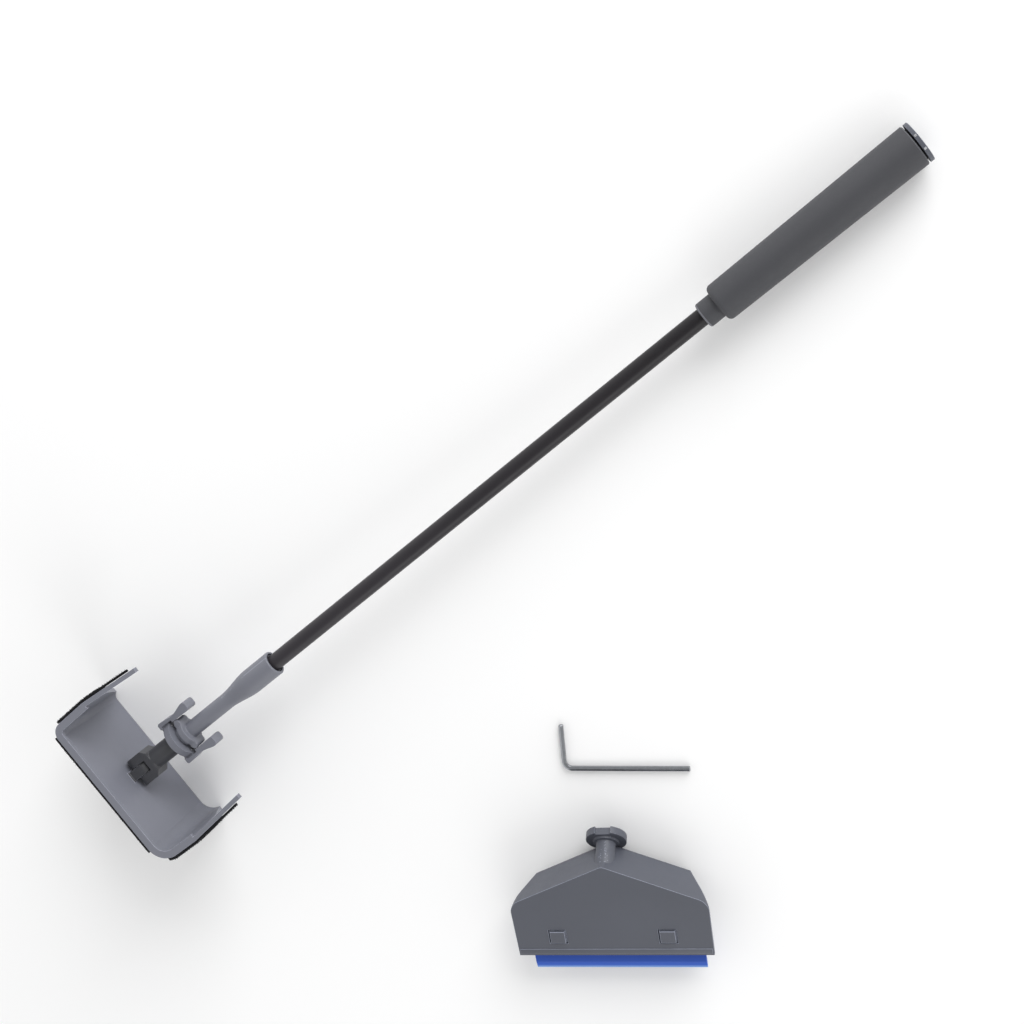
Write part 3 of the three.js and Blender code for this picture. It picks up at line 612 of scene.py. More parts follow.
# %% The hook pile tree
def hook_pile_tree():
    tree = bpy.data.node_groups.new("Hook pile", "GeometryNodeTree")
    sockets = {}
    for name, kind in (
        ("Backing", "NodeSocketGeometry"), ("Pitch", "NodeSocketFloat"),
        ("Hook Height", "NodeSocketFloat"), ("Hook Thickness", "NodeSocketFloat"),
        ("Seed", "NodeSocketInt"), ("Finish", "NodeSocketMaterial"),
    ):
        socket = tree.interface.new_socket(name=name, in_out="INPUT", socket_type=kind)
        sockets[name] = socket.identifier
    tree.interface.new_socket(name="Strip", in_out="OUTPUT", socket_type="NodeSocketGeometry")
    make = tree.nodes.new
    join = tree.links.new
    given = make("NodeGroupInput")
    result = make("NodeGroupOutput")

    outer = make("GeometryNodeInputNamedAttribute")
    outer.data_type = "BOOLEAN"
    outer.inputs["Name"].default_value = "pile"
    spread = make("GeometryNodeDistributePointsOnFaces")
    spread.distribute_method = "POISSON"
    spread.inputs["Density Max"].default_value = 2.0
    join(given.outputs["Backing"], spread.inputs["Mesh"])
    join(outer.outputs["Attribute"], spread.inputs["Selection"])
    join(given.outputs["Pitch"], spread.inputs["Distance Min"])
    join(given.outputs["Seed"], spread.inputs["Seed"])

    stem = make("GeometryNodeCurveQuadraticBezier")
    stem.inputs["Resolution"].default_value = 4
    stem.inputs["Start"].default_value = (0, 0, -0.1)
    bend = make("ShaderNodeCombineXYZ")
    tip = make("ShaderNodeCombineXYZ")
    higher = times(tree, given.outputs["Hook Height"], 1.5)
    lower = times(tree, given.outputs["Hook Height"], 0.55)
    join(higher, bend.inputs["Z"])
    join(lower, tip.inputs["X"])
    join(lower, tip.inputs["Z"])
    join(bend.outputs[0], stem.inputs["Middle"])
    join(tip.outputs[0], stem.inputs["End"])
    section = make("GeometryNodeCurvePrimitiveCircle")
    section.inputs["Resolution"].default_value = 3
    join(times(tree, given.outputs["Hook Thickness"], 0.5), section.inputs["Radius"])
    hook = make("GeometryNodeCurveToMesh")
    hook.inputs["Fill Caps"].default_value = True
    join(stem.outputs["Curve"], hook.inputs["Curve"])
    join(section.outputs["Curve"], hook.inputs["Profile Curve"])

    stand = make("GeometryNodeInstanceOnPoints")
    join(spread.outputs["Points"], stand.inputs["Points"])
    join(spread.outputs["Rotation"], stand.inputs["Rotation"])
    join(hook.outputs["Mesh"], stand.inputs["Instance"])
    chance = make("FunctionNodeRandomValue")
    chance.data_type = "FLOAT"
    join(given.outputs["Seed"], chance.inputs["Seed"])
    spin = make("ShaderNodeCombineXYZ")
    join(times(tree, chance.outputs[1], 2 * math.pi), spin.inputs["Z"])
    turn = make("GeometryNodeRotateInstances")
    join(stand.outputs["Instances"], turn.inputs["Instances"])
    join(spin.outputs[0], turn.inputs["Rotation"])

    together = make("GeometryNodeJoinGeometry")
    join(turn.outputs["Instances"], together.inputs["Geometry"])
    join(given.outputs["Backing"], together.inputs["Geometry"])
    real = make("GeometryNodeRealizeInstances")
    coat = make("GeometryNodeSetMaterial")
    join(together.outputs["Geometry"], real.inputs["Geometry"])
    join(real.outputs["Geometry"], coat.inputs["Geometry"])
    join(given.outputs["Finish"], coat.inputs["Material"])
    join(coat.outputs["Geometry"], result.inputs["Strip"])
    return tree, sockets


pile_tree, pile_sockets = hook_pile_tree()
print("hook pile inputs", sorted(pile_sockets))

# %% [markdown]
# ## Backings
# The backing follows the head's own line, a gap outside it, and is cut where the sides slant. The
# faces that look outwards carry a `pile` mark, which tells the tree where hooks may stand.

# %% Build the strips
BACKING, STRIP_EDGE = 1.7, 0.7
STRIP_START, STRIP_TIP, STRIP_CORNER = 4, 5.5, 2.4
HOOK_PITCH, HOOK_HEIGHT, HOOK_THICKNESS = 1.05, 0.46, 0.34


def strip_backing(name, low, high, outward):
    """The part of the backing inside a box, with its outward faces marked."""
    outline = band(head_line, head_radii, -GAP, -GAP - BACKING)
    backing = plate(name, outline, -NEAR + STRIP_EDGE, NEAR - STRIP_EDGE)
    slants = gusset_cuts(back=STRIP_EDGE) if outward.x == 0 else []
    combined(backing, cut=slants, within=[brick(low, high)])
    bevelled(backing, width=0.3, segments=2)
    mark = backing.data.attributes.new("pile", "BOOLEAN", "FACE")
    for face in backing.data.polygons:
        mark.data[face.index].value = face.normal.dot(outward) > 0.55
    return backing


def hooked(backing, seed):
    pile = backing.modifiers.new("pile", "NODES")
    pile.node_group = pile_tree
    pile[pile_sockets["Pitch"]] = HOOK_PITCH
    pile[pile_sockets["Hook Height"]] = HOOK_HEIGHT
    pile[pile_sockets["Hook Thickness"]] = HOOK_THICKNESS
    pile[pile_sockets["Seed"]] = seed
    pile[pile_sockets["Finish"]] = hook_pile
    return bake(backing)


plate_top = CORNER_Y - SMALL_CORNER + STRIP_CORNER
plate_bottom = -CORNER_Y + LARGE_CORNER - STRIP_CORNER
arm_start_y = CORNER_Y - SMALL_CORNER
strip_end = ARM_REACH - STRIP_TIP
strips = {
    "base_hook_strip": ((-WALL - 9, plate_bottom, -NEAR), (-WALL, plate_top, NEAR), Vector((-1, 0, 0))),
    "left_hook_strip": ((STRIP_START, arm_start_y, -NEAR), (strip_end, 80, NEAR), Vector((0, 1, 0))),
    "right_hook_strip": ((STRIP_START, -80, -NEAR), (strip_end, -arm_start_y, NEAR), Vector((0, -1, 0))),
}
for seed, (node, (low, high, outward)) in enumerate(strips.items()):
    strip = hooked(strip_backing(node, low, high, outward), seed + 3)
    finish(strip, pole, node, "head", hook_pile)

# %% [markdown]
# ## The stub and its hinge
# The dark stub is a fork with two round ears, a chamfered shoulder and a round neck that carries the
# lock disc. It was moulded in one shot, so its shapes melt into each other. The voxel remesher does
# that. The slot, the screw's seat and the nut's pocket are cut first, so they soften as well.

# %% Build the stub
EAR_RADIUS = 7
EAR_Y = span("head_stub", pole)[1].y
FORK_SHOULDER_X, FORK_END_X = 16.8, 20
STUB_RADIUS = 7
SPIGOT_RADIUS, SPIGOT_LENGTH = 4.5, 3.2
RECESS, HEAD_HEIGHT, NUT_THICK = 0.3, 4, 3.2
SLOT_HALF = 3.85
disc_low, disc_high = span("lock_disc", pole)


def flat_sided(flats, low, high):
    return pin("six_sides", flats / math.cos(math.pi / 6), low, high, HINGE_X, sides=6)


def head_stub():
    side = []
    for step in range(2 * ARC_STEPS + 1):
        angle = math.pi / 2 + math.pi * step / (2 * ARC_STEPS)
        side.append((HINGE_X + EAR_RADIUS * math.cos(angle), EAR_RADIUS * math.sin(angle)))
    side += [(FORK_END_X, -EAR_RADIUS), (FORK_END_X, EAR_RADIUS)]
    top = [
        (0, -EAR_Y), (FORK_SHOULDER_X, -EAR_Y), (FORK_END_X, -STUB_RADIUS),
        (FORK_END_X, STUB_RADIUS), (FORK_SHOULDER_X, EAR_Y), (0, EAR_Y),
    ]
    fork = plate("head_stub", side, -EAR_Y, EAR_Y, lie="xz")
    combined(fork, within=[plate("top", top, -EAR_RADIUS - EPS, EAR_RADIUS + EPS)])
    neck_end = disc_low.x - GAP
    neck = turned("neck", [
        (STUB_RADIUS, FORK_SHOULDER_X), (STUB_RADIUS, neck_end), (SPIGOT_RADIUS, neck_end),
        (SPIGOT_RADIUS, disc_low.x + SPIGOT_LENGTH),
    ])
    slot_end = HINGE_X + LUG_RADIUS + 0.5
    slot = brick((-EPS, -SLOT_HALF, -EAR_RADIUS - EPS), (slot_end, SLOT_HALF, EAR_RADIUS + EPS))
    hole = pin("hole", SCREW_HOLE, -EAR_Y - EPS, EAR_Y + EPS, HINGE_X)
    seat = pin("seat", 7.6, EAR_Y - RECESS - HEAD_HEIGHT - GAP, EAR_Y + EPS, HINGE_X)
    pocket = flat_sided(7.6, -EAR_Y - EPS, -EAR_Y + RECESS + NUT_THICK + GAP)
    combined(fork, add=[neck], cut=[slot, hole, seat, pocket])
    return melted(fork, grain=0.24, rounds=5)


finish(head_stub(), pole, "head_stub", "pole", stub_plastic)

# %% [markdown]
# ## Screw and nut
# The cap screw has a chamfered, knurled head with a hex socket for the key. The knurl is a ring of
# shallow teeth, so the head is drawn as a plate with a toothed outline. The nut is a plain hexagon
# with turned corners, which is a hexagonal bar kept within a round bar.

# %% Build the screw and the nut
HEAD_RADIUS, SHANK_DIAMETER, KEY_SIZE, SOCKET_DEPTH = 3.5, 4, 3, 2.2
KNURLS, KNURL_DEPTH = 32, 0.12
NUT_FLATS, NUT_CORNERS = 7, 7.85
screw_face = EAR_Y - RECESS


def hinge_screw():
    teeth = []
    for step in range(2 * KNURLS):
        angle = math.pi * step / KNURLS
        radius = HEAD_RADIUS - (KNURL_DEPTH if step % 2 else 0.0)
        teeth.append((HINGE_X + radius * math.cos(angle), radius * math.sin(angle)))
    head = plate("hinge_screw", teeth, screw_face - HEAD_HEIGHT, screw_face - 0.5, lie="xz")
    crown = pin("crown", 2 * HEAD_RADIUS - 0.7, screw_face - 0.6, screw_face, HINGE_X)
    shank = pin("shank", SHANK_DIAMETER, -screw_face, screw_face - HEAD_HEIGHT + EPS / 2, HINGE_X)
    socket = flat_sided(KEY_SIZE + 0.1, screw_face - SOCKET_DEPTH, screw_face + EPS)
    combined(head, add=[crown, shank], cut=[socket])
    return bevelled(head, width=0.12, segments=2)


def hinge_nut():
    nut = flat_sided(NUT_FLATS, -screw_face, -screw_face + NUT_THICK)
    nut.name = "hinge_nut"
    corners = pin("corners", NUT_CORNERS, -screw_face, -screw_face + NUT_THICK, HINGE_X)
    combined(nut, within=[corners])
    combined(nut, cut=[pin("bore", SCREW_HOLE, -EAR_Y - EPS, 0, HINGE_X)])
    return bevelled(nut, width=0.18, segments=2)


finish(hinge_screw(), pole, "hinge_screw", "pole", screw_zinc)
finish(hinge_nut(), pole, "hinge_nut", "pole", screw_zinc)

# %% [markdown]
# ## The notched disc
# The disc locks the head against turning: each lever of the clip has a rib that fills a notch. The
# squeegee's neck ends in the same disc, so one function makes both.

# %% Build the lock disc
DISC_RADIUS = 13.25
DISC_THICK = 4.9
NOTCH_HALF, NOTCH_DEPTH = 5, 3


def notched_disc(name, start):
    disc = turned(name, [(DISC_RADIUS, start), (DISC_RADIUS, start + DISC_THICK)])
    floor = DISC_RADIUS - NOTCH_DEPTH
    notches = []
    for way in (1, -1):
        low, high = sorted((way * floor, way * 2 * DISC_RADIUS))
        corner = (start + DISC_THICK + EPS, NOTCH_HALF, high)
        notches.append(brick((start - EPS, -NOTCH_HALF, low), corner))
    return combined(disc, cut=notches)


def lock_disc():
    disc = notched_disc("lock_disc", disc_low.x)
    disc.data.transform(Matrix.Rotation(math.pi / 2, 4, "X"))
    bore_end = disc_low.x + SPIGOT_LENGTH + GAP
    bore = turned("bore", [(SPIGOT_RADIUS + GAP, disc_low.x - EPS), (SPIGOT_RADIUS + GAP, bore_end)])
    combined(disc, cut=[bore])
    return bevelled(disc, width=0.5, segments=3)


finish(lock_disc(), pole, "lock_disc", "pole", clip_plastic)

# %% [markdown]
# ## The pole's socket
# One moulding again: a short hub on the disc, a crossbar with a round middle and rounded ends, a
# slim shaft and an S-shaped cone that ends in a thick-walled mouth. The turned part is one profile,
# the rest is joined to it, and the whole is melted, so the crossbar grows out of the shaft on a
# small fillet.

# %% Build the socket
socket_end = span("pole_socket", pole)[1].x
HUB_RADIUS, HUB_LENGTH, BOSS_RADIUS = 7.5, 2.8, 9.5
CROSSBAR_THICK, CLIP_DEPTH = 4.6, 12
SHAFT_RADIUS, SOCKET_RADIUS, MOUTH_RADIUS, MOUTH_DEPTH = 5.6, 8.5, 6.9, 2.2
ROD_RADIUS = 5.5
SHAFT_LENGTH, CONE_LENGTH, CONE_STEPS, RIM = 33.8, 24.5, 24, 0.5
hub_x = disc_high.x + GAP
crossbar_x = hub_x + HUB_LENGTH
pivot_y = (pole.inverted() @ joint_place["left_lever_press"]).y


def pole_socket():
    end = socket_end
    shaft_end = crossbar_x + CROSSBAR_THICK + SHAFT_LENGTH
    profile = [(SHAFT_RADIUS, crossbar_x), (SHAFT_RADIUS, shaft_end)]
    for step in range(1, CONE_STEPS):
        run = step / CONE_STEPS
        swell = run * run * (3 - 2 * run)
        radius = SHAFT_RADIUS + (SOCKET_RADIUS - SHAFT_RADIUS) * swell
        profile.append((radius, shaft_end + CONE_LENGTH * run))
    profile += [
        (SOCKET_RADIUS, shaft_end + CONE_LENGTH), (SOCKET_RADIUS, end - RIM),
        (SOCKET_RADIUS - RIM, end),
    ]
    socket = turned("pole_socket", profile)
    hub = turned("hub", [(HUB_RADIUS, hub_x), (HUB_RADIUS, crossbar_x + EPS)])
    boss = turned("boss", [(BOSS_RADIUS, crossbar_x), (BOSS_RADIUS, crossbar_x + CROSSBAR_THICK)])
    half = CLIP_DEPTH / 2
    bar = brick((crossbar_x - 0.2, -pivot_y, -half), (crossbar_x + CROSSBAR_THICK, pivot_y, half))
    ends = []
    for way in (1, -1):
        ring = [
            (crossbar_x + CROSSBAR_THICK / 2 * (1 + math.cos(math.pi * step / 16)),
             way * pivot_y + CROSSBAR_THICK / 2 * math.sin(math.pi * step / 16))
            for step in range(32)
        ]
        ends.append(plate("bar_end", ring, -half, half))
    bore_x = rod_low.x - GAP
    bore = turned("bore", [(ROD_RADIUS + GAP, bore_x), (ROD_RADIUS + GAP, end + EPS)])
    mouth = turned("mouth", [(MOUTH_RADIUS, end - MOUTH_DEPTH), (MOUTH_RADIUS, end + EPS)])
    combined(socket, add=[hub, boss, bar, *ends], cut=[bore, mouth])
    return melted(socket, grain=0.3, rounds=4)


finish(pole_socket(), pole, "pole_socket", "pole", clip_plastic)

# %% [markdown]
# ## Release levers
# Each lever hooks under the disc at one end and flares into a finger tip at the other. Pressing the
# two tips together swings the hooks apart. The outline is a smooth curve through a few points, so it
# is drawn with Bezier pieces and then raised to the clip's depth. A rib inside fills the disc's notch.

# %% Build the levers
DISC_CLEARANCE, HOOK_BITE, HOOK_WALL = 0.35, 1.05, 3
LEVER_SET_IN, WAIST_WALL, TIP_WALL, TIP_CORNER = 1.45, 3.7, 6.5, 2.4
CURVE_STEPS = 12


def bezier(start, pull_a, pull_b, end):
    """Points along a cubic curve, without its first point."""
    a, b, c, d = map(Vector, (start, pull_a, pull_b, end))
    points = []
    for step in range(1, CURVE_STEPS + 1):
        t = step / CURVE_STEPS
        s = 1 - t
        points.append(tuple(a * s**3 + b * 3 * s * s * t + c * 3 * s * t * t + d * t**3))
    return points


def release_lever(node, side):
    lever_low, lever_high = span(node, pole)
    disc_face = DISC_RADIUS + DISC_CLEARANCE
    hook_inner = DISC_RADIUS - HOOK_BITE
    hook_outer = disc_face + HOOK_WALL
    inner = DISC_RADIUS - LEVER_SET_IN
    waist = inner + WAIST_WALL
    tip_inner = inner - GAP
    tip_outer = tip_inner + TIP_WALL
    middle = crossbar_x + CROSSBAR_THICK / 2
    start, end = lever_low.x, lever_high.x
    step_x = crossbar_x + GAP
    soft = TIP_CORNER
    ease = (end - middle) / 3
    ledge = disc_low.x - GAP
    outline = [
        (start, hook_inner), (ledge, hook_inner), (ledge, disc_face), (step_x, disc_face),
        (step_x, inner), (end - soft, tip_inner),
    ]
    outline += bezier(
        outline[-1], (end - soft / 3, tip_inner), (end, tip_inner + soft / 3), (end, tip_inner + soft)
    )
    outline.append((end, tip_outer - soft))
    outline += bezier(
        outline[-1], (end, tip_outer - soft / 3), (end - soft / 3, tip_outer), (end - soft, tip_outer)
    )
    outline += bezier(outline[-1], (end - ease, tip_outer), (middle + ease, waist), (middle, waist))
    outline += bezier(
        outline[-1], (middle - ease, waist), (disc_low.x + ease, hook_outer), (start + EPS, hook_outer)
    )
    outline.append((start, hook_outer - EPS))
    outline = [(x, side * y) for x, y in outline]
    lever = plate(node, outline, -CLIP_DEPTH / 2, CLIP_DEPTH / 2)
    rib_half = NOTCH_HALF - GAP
    notch_floor = DISC_RADIUS - NOTCH_DEPTH
    ribs = []
    for reach, inside in ((disc_high.x, notch_floor + GAP), (ledge, notch_floor - HOOK_BITE)):
        low, high = sorted((side * inside, side * (disc_face + EPS)))
        ribs.append(brick((start, low, -rib_half), (reach, high, rib_half)))
    combined(lever, add=ribs)
    return melted(lever, grain=0.16, rounds=4)


for node, side in (("left_lever", 1), ("right_lever", -1)):
    finish(release_lever(node, side), pole, node, node, clip_plastic)

# %% [markdown]
# ## Rod and handle
# The rod, the collar, the bush and the grip are all turned. A hollow profile closes on itself, so
# each is a real tube with a wall. The grip's front edge is a quarter round. The rod's paint is lighter
# towards the socket as painted light, so each point stores how far along the rod it is.

# %% Build the rod, the collar and the bush
def tube(node, inner, chamfer):
    """A tube of a CAD node's length and outer size, with its ends chamfered."""
    low, high = span(node, pole)
    outer = high.y
    return turned(node, [
        (inner, low.x + chamfer), (inner + chamfer, low.x), (outer - chamfer, low.x),
        (outer, low.x + chamfer), (outer, high.x - chamfer), (outer - chamfer, high.x),
        (inner + chamfer, high.x), (inner, high.x - chamfer),
    ], hollow=True)


ROD_WALL = 0.9
rod = bevelled(tube("rod", ROD_RADIUS - ROD_WALL, 0.2), 0.1, 2)
mark_points(rod, "run", lambda spot: (spot.x - rod_low.x) / (rod_high.x - rod_low.x))
bush = bevelled(tube("rod_bush", ROD_RADIUS + GAP, 0.5), 0.2, 2)
collar = bevelled(tube("grip_collar", ROD_RADIUS + GAP, 0.7), 0.45, 3)
finish(rod, pole, "rod", "pole", rod_paint)
finish(bush, pole, "rod_bush", "pole", clip_plastic)
finish(collar, pole, "grip_collar", "pole", grip_plastic)


# %% Build the grip
grip_low, grip_high = span("grip", pole)
FRONT_RADIUS, NOSE = 12.05, 3
BORE_RADIUS = 8.6


def grip():
    profile = [(BORE_RADIUS, grip_low.x + 0.6), (BORE_RADIUS + 0.6, grip_low.x)]
    for step in range(ARC_STEPS + 1):
        angle = math.pi / 2 * step / ARC_STEPS
        radius = FRONT_RADIUS - NOSE * (1 - math.sin(angle))
        profile.append((radius, grip_low.x + NOSE * (1 - math.cos(angle))))
    rear = grip_high.y
    profile += [(rear, grip_high.x - 0.5), (rear - 0.5, grip_high.x), (BORE_RADIUS, grip_high.x)]
    body = turned("grip", profile, hollow=True, sides=128)
    return bevelled(body, 0.4, 2)


finish(grip(), pole, "grip", "pole", grip_plastic)

# %% [markdown]
# ## End cap
# A flange closes the grip. A narrower neck behind it takes the black hook finish as painted shade,
# which leaves the dark line, and two small bright ribs stand on the flange.

# %% Build the end cap
cap_low, cap_high = span("grip_end_cap", pole)
FLANGE, NECK_RADIUS, PLUG_TIP, CROWN = 2.4, 10.2, 6.2, 0.2
DISH_RIM, DISH_DEPTH = 2.8, 0.5
CAP_RIB_SPOTS, CAP_RIB_HALF, CAP_RIB_STANDS = (72, 112), 0.7, 0.14


def end_cap():
    flange_x = cap_high.x - FLANGE
    outer = cap_high.y
    cap = turned("grip_end_cap", [
        (PLUG_TIP, cap_low.x), (BORE_RADIUS - GAP, cap_low.x + 0.8),
        (BORE_RADIUS - GAP, grip_high.x + GAP), (NECK_RADIUS, grip_high.x + GAP),
        (NECK_RADIUS, flange_x), (outer - 0.15, flange_x), (outer, flange_x + 0.15),
        (outer, cap_high.x - CROWN), (outer - CROWN, cap_high.x),
    ])
    dish = turned("dish", [
        (outer - DISH_RIM - 0.4, cap_high.x - DISH_DEPTH), (outer - DISH_RIM, cap_high.x + EPS),
    ])
    ribs = []
    for spot in CAP_RIB_SPOTS:
        rib = brick(
            (flange_x + 0.4, -CAP_RIB_HALF, outer - 0.9),
            (cap_high.x - 0.6, CAP_RIB_HALF, outer + CAP_RIB_STANDS),
        )
        rib.data.transform(Matrix.Rotation(math.radians(spot - 90), 4, "X"))
        ribs.append(rib)
    combined(cap, add=ribs, cut=[dish])
    return bevelled(cap, 0.18, 2)


cap = finish(end_cap(), pole, "grip_end_cap", "pole", cleaner_plastic)
# The neck's faces take the black hook finish as painted shade in the groove behind the flange.
dress(cap, pole, hook_pile, lambda spot: spot.x < cap_high.x - FLANGE - 0.05)
dress(cap, pole, screw_zinc, lambda spot: math.hypot(spot.y, spot.z) > cap_high.y + 0.05)

# %% [markdown]
# ## The squeegee's frame
# The squeegee lies on its back, so its own frame is found from the mount on its disc: the disc's
# axis leans back from the face by a known angle, and the squeegee's width is level.

# %% Find the squeegee's frame
NECK_TILT = math.radians(58)
disc_mount = next(mount for mount in record["mounts"] if mount["name"] == "squeegee_disc_face")
disc_axis = Vector(disc_mount["axis"])
width_way = disc_axis.cross(Vector((0, 0, 1))).normalized()
height_way = disc_axis * math.cos(NECK_TILT) + width_way.cross(disc_axis) * math.sin(NECK_TILT)
squeegee = frame_of(Vector((0, 0, 0)), width_way, height_way.normalized())
body_low, body_high = span("squeegee_body", squeegee)
foot_middle = squeegee @ Vector(((body_low.x + body_high.x) / 2, body_low.y, body_high.z))
squeegee = frame_of(foot_middle, width_way, height_way.normalized())
body_low, body_high = span("squeegee_body", squeegee)
print("squeegee", round(body_high.x - body_low.x, 1), "mm wide")

# %% [markdown]
# ## The squeegee's body
# It is a house-shaped block that narrows towards its back and ends in a thin lip at its foot.
# Tapering is a cut by a trapezium seen from below. The neck is turned in the pole's way, along x,
# and then stood up and tilted back. It is melted into its disc on its own, because the remesher
# would blur the body's long straight edges.

# %% Build the squeegee's body
HALF_WIDTH = body_high.x
FOOT_HALF = 64.3
BACK_HALF = 51.5
DEPTH = 27.5
SIDE_Y, SHOULDER_Y, APEX_Y = 35.5, 40.5, 66.5
SHOULDER_IN = 3.5
FACE_WALL = 2.6
POCKET_Y = 24
WINDOW_X, WINDOW_Y, WINDOW_HALF_X, WINDOW_HALF_Y = 36.2, 14.2, 6, 5.3
NECK_Y, NECK_Z, NECK_LENGTH = 62, -13, 14
SQUEEGEE_NECK = 6.3
NECK_COLLAR, COLLAR_LENGTH = 8.4, 1.4
LIP_Y, LIP_INSET, LIP_STANDS = 5, 0.8, 0.35
BLADE_HALF, BLADE_Z, BLADE_THICK, BLADE_GRIPPED, BLADE_REACH = 57, -10, 3, 12, 16.5
BLADE_ROWS = 25
pocket_half = BACK_HALF + FACE_WALL / 2
pocket_depth = (-DEPTH + 2 * FACE_WALL, -FACE_WALL)


def neck_place():
    stand = Matrix.Rotation(math.pi / 2, 4, "Z")
    tilt = Matrix.Rotation(-NECK_TILT, 4, "X")
    return Matrix.Translation((0, NECK_Y, NECK_Z)) @ tilt @ stand


def squeegee_neck():
    neck = turned("neck", [
        (SQUEEGEE_NECK + 0.6, -5), (SQUEEGEE_NECK + 0.4, 3), (SQUEEGEE_NECK, 6),
        (SQUEEGEE_NECK, NECK_LENGTH - COLLAR_LENGTH - GAP),
        (NECK_COLLAR, NECK_LENGTH - COLLAR_LENGTH), (NECK_COLLAR, NECK_LENGTH + EPS),
    ])
    combined(neck, add=[notched_disc("disc", NECK_LENGTH)])
    neck.data.transform(neck_place())
    return melted(neck, grain=0.22, rounds=4)


def window_block(x, inset, low, high):
    """A block as large as a window, less an inset all round."""
    half_x, half_y = WINDOW_HALF_X - inset, WINDOW_HALF_Y - inset
    return brick((x - half_x, WINDOW_Y - half_y, low), (x + half_x, WINDOW_Y + half_y, high))


def blade_slit(half_width):
    half = BLADE_THICK / 2 + GAP
    return brick(
        (-half_width, -EPS, BLADE_Z - half), (half_width, BLADE_GRIPPED + GAP, BLADE_Z + half)
    )


def squeegee_body():
    shoulder = HALF_WIDTH - SHOULDER_IN
    corners = [(FOOT_HALF, 0), (HALF_WIDTH, SIDE_Y), (shoulder, SHOULDER_Y), (0, APEX_Y)]
    corners += [(-x, y) for x, y in corners[-2::-1]]
    house = rounded(corners, [8, 8, 4, 8, 8])
    body = plate("squeegee_body", house, -DEPTH, 0)
    front = HALF_WIDTH + 0.6
    taper = [(-BACK_HALF, -DEPTH), (BACK_HALF, -DEPTH), (front, 0), (-front, 0)]
    combined(body, within=[plate("taper", taper, -EPS, APEX_Y + EPS, lie="xz")])
    lip_half = FOOT_HALF - LIP_INSET
    lip = bevelled(brick((-lip_half, 1.1, -EPS), (lip_half, LIP_Y, LIP_STANDS)), width=0.2)
    pocket = brick((-pocket_half, -EPS, pocket_depth[0]), (pocket_half, POCKET_Y, pocket_depth[1]))
    windows = [window_block(x, 0, -FACE_WALL - EPS, EPS) for x in (-WINDOW_X, WINDOW_X)]
    combined(body, cut=[pocket, blade_slit(BLADE_HALF + GAP), *windows])
    bevelled(body, width=0.68, segments=3, sharper_than=30, flat_above=40)
    return combined(body, add=[lip, squeegee_neck()])


finish(squeegee_body(), squeegee, "squeegee_body", "squeegee", cleaner_plastic)

# %% [markdown]
# ## The blade and its holder
# The holder slides into the body from below, and its two tabs snap into the windows. Each tab is a
# pad with a soft border. The blade narrows to a thin lip that touches the glass. It stores how far
# each point is towards that lip, so the rubber's colour can follow it.

# %% Build the blade and its holder
def blade_holder():
    holder = brick(
        (-pocket_half + GAP, GAP, pocket_depth[0] + GAP),
        (pocket_half - GAP, POCKET_Y - GAP, pocket_depth[1] - GAP),
    )
    holder.name = "squeegee_blade_holder"
    tabs = [
        window_block(x, inset, -FACE_WALL - EPS, top)
        for x in (-WINDOW_X, WINDOW_X)
        for inset, top in ((GAP, -0.9), (1.0, 1.1))
    ]
    combined(holder, add=tabs, cut=[blade_slit(pocket_half + EPS)])
    return bevelled(holder, width=0.3, segments=3)


def squeegee_blade():
    side = [
        (BLADE_GRIPPED, BLADE_THICK / 2), (-BLADE_REACH + 5, BLADE_THICK / 2),
        (-BLADE_REACH + 3.6, 1.1), (-BLADE_REACH, 0.6),
    ]
    side += [(y, -z) for y, z in side[::-1]]
    shape = bmesh.new()
    rows = []
    for step in range(BLADE_ROWS):
        x = BLADE_HALF * (2 * step / (BLADE_ROWS - 1) - 1)
        rows.append([shape.verts.new((x, y, BLADE_Z + z)) for y, z in side])
    skin(shape, rows)
    shape.faces.new(rows[0])
    shape.faces.new(rows[-1])
    blade = bevelled(new_piece("squeegee_blade", shape), width=0.2, segments=2, sharper_than=12)
    mark_points(blade, "reach", lambda spot: min(max(-spot.y / BLADE_REACH, 0), 1))
    return blade


finish(blade_holder(), squeegee, "squeegee_blade_holder", "squeegee", cleaner_plastic)
finish(squeegee_blade(), squeegee, "squeegee_blade", "squeegee", blade_blue)

# %% [markdown]
# ## The hex key
# Hexagonal wire bent once. A bar of six-sided rings is swept along an L with a round bend, with one
# ridge up, and the two ends are chamfered, as sawn and tumbled wire is.

# %% Build the hex key
KEY_TURN = math.radians(-34.6)
key_way = Vector((math.cos(KEY_TURN), math.sin(KEY_TURN), 0))
key_frame = frame_of(Vector((0, 0, 0)), key_way, Vector((0, 0, 1)).cross(key_way))
key_low, key_high = span("hex_key", key_frame)
BEND_SIZE = 5
key_radius = KEY_SIZE / 2 / math.cos(math.pi / 6)


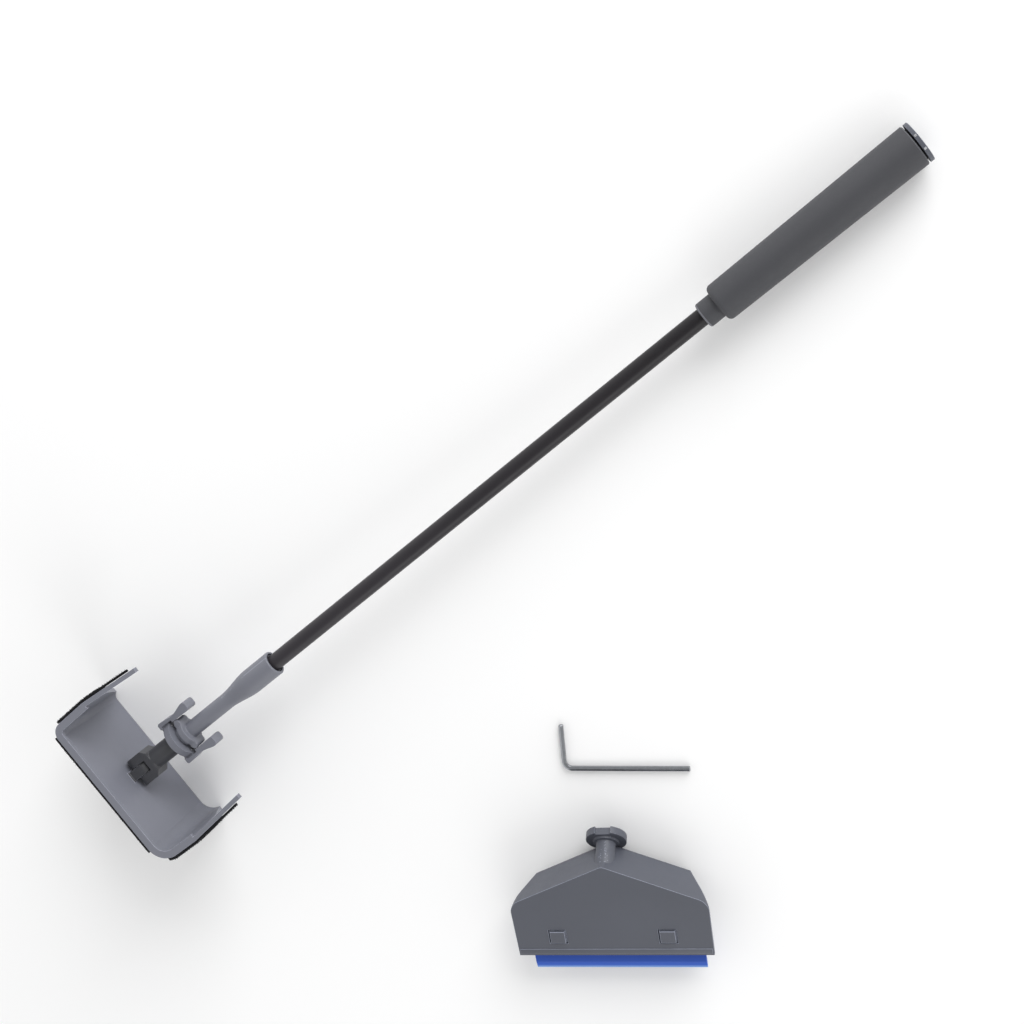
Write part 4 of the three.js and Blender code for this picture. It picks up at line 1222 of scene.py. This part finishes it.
def hex_key():
    corner = (key_low.x + KEY_SIZE / 2, key_low.y + KEY_SIZE / 2)
    chamfer = 0.35
    long_end, short_end = (key_high.x, corner[1]), (corner[0], key_high.y)
    path = rounded([long_end, corner, short_end], [BEND_SIZE], steps=18)
    spots = [Vector(spot) for spot in path]
    first, last = (spots[1] - spots[0]).normalized(), (spots[-2] - spots[-1]).normalized()
    spots = [spots[0], spots[0] + first * chamfer, *spots[1:-1], spots[-1] + last * chamfer, spots[-1]]
    shape = bmesh.new()
    rings = []
    for i, spot in enumerate(spots):
        run = spots[min(i + 1, len(spots) - 1)] - spots[max(i - 1, 0)]
        side = Vector((-run.y, run.x)).normalized()
        size = key_radius - (chamfer if i in (0, len(spots) - 1) else 0)
        ring = []
        for step in range(6):
            angle = math.pi / 6 + math.pi / 3 * step
            out = side * size * math.cos(angle)
            height = key_radius + size * math.sin(angle)
            ring.append(shape.verts.new((spot.x + out.x, spot.y + out.y, height)))
        rings.append(ring)
    skin(shape, rings)
    shape.faces.new(rings[0])
    shape.faces.new(rings[-1])
    return bevelled(new_piece("hex_key", shape), width=0.16, segments=2)


finish(hex_key(), key_frame, "hex_key", "key", key_nickel)

# %% [markdown]
# ## The studio
# A pale floor under everything, a white sky that is brightest near the horizon, and two large soft
# lamps that stand low, so that upright faces come out lighter than level ones. The lamps are wide
# and far away, which keeps the shadows faint.

# %% Floor and light
def studio_floor():
    shape = bmesh.new()
    reach = 30
    for x, y in ((-1, -1), (1, -1), (1, 1), (-1, 1)):
        shape.verts.new((x * reach, y * reach, -0.0004))
    shape.faces.new(shape.verts)
    floor = new_piece("studio_floor", shape)
    material, tree, shader = start_material("studio_white")
    drift = noise(tree, 900, detail=1)
    base = blend(tree, drift, (0.93, 0.93, 0.93), (0.95, 0.95, 0.95))
    link_in(tree, base, shader.inputs["Base Color"])
    shader.inputs["Roughness"].default_value = 0.9
    floor.data.materials.append(material)


def lamp(name, place, power, size):
    """A square lamp that looks at the middle of the scene."""
    light = bpy.data.lights.new(name, "AREA")
    light.energy = power
    light.size = size
    piece = bpy.data.objects.new(name, light)
    piece.location = place
    piece.rotation_euler = (-Vector(place)).to_track_quat("-Z", "Y").to_euler()
    collection.objects.link(piece)


def white_sky(horizon, zenith):
    """A white sky whose strength falls from the horizon up."""
    sky = bpy.data.worlds.new("white_sky")
    sky.use_nodes = True
    tree = sky.node_tree
    way = tree.nodes.new("ShaderNodeTexCoord")
    parts = tree.nodes.new("ShaderNodeSeparateXYZ")
    link_in(tree, way.outputs["Generated"], parts.inputs["Vector"])
    strength = ramp(tree, parts.outputs["Z"], 0, 1, horizon, zenith)
    link_in(tree, strength, tree.nodes["Background"].inputs["Strength"])
    tree.nodes["Background"].inputs["Color"].default_value = (1, 1, 1, 1)
    return sky


studio_floor()
lamp("window_lamp", (2.6, 1.7, 1.5), 90, 2.2)
lamp("fill_lamp", (-0.6, -2.4, 1.6), 18, 1.8)
bpy.context.scene.world = white_sky(1.45, 0.34)
bpy.context.scene.view_settings.view_transform = "Standard"

# %% [markdown]
# ## The camera
# It looks down on the pole from above the grip, with a normal lens. Its place and its aim are given
# in the pole's frame, because the picture is composed along the pole.

# %% Place the camera
CAMERA_PLACE = Vector((576, 0, 835))
TILT, YAW, ROLL = math.radians(16.8), math.radians(1.293), math.radians(38.93)
straight = Vector((-math.sin(TILT), 0, -math.cos(TILT)))
to_right = Vector((0, -1, 0))
forward = straight * math.cos(YAW) + to_right * math.sin(YAW)
picture_down = to_right * math.cos(YAW) - straight * math.sin(YAW)
picture_along = picture_down.cross(forward)
if picture_along.x < 0:
    picture_along = -picture_along
right = picture_along * math.cos(ROLL) + picture_down * math.sin(ROLL)
down = picture_down * math.cos(ROLL) - picture_along * math.sin(ROLL)
spin = Matrix((right, -down, -forward)).transposed()
turn = pole.to_3x3() * (1 / MM)
lens = bpy.data.cameras.new("camera")
lens.lens = 50
lens.sensor_width = 36
lens.clip_start = 0.02
lens.clip_end = 60
camera = bpy.data.objects.new("camera", lens)
camera.matrix_world = Matrix.Translation(pole @ CAMERA_PLACE) @ (turn @ spin).to_4x4()
collection.objects.link(camera)
bpy.context.scene.camera = camera
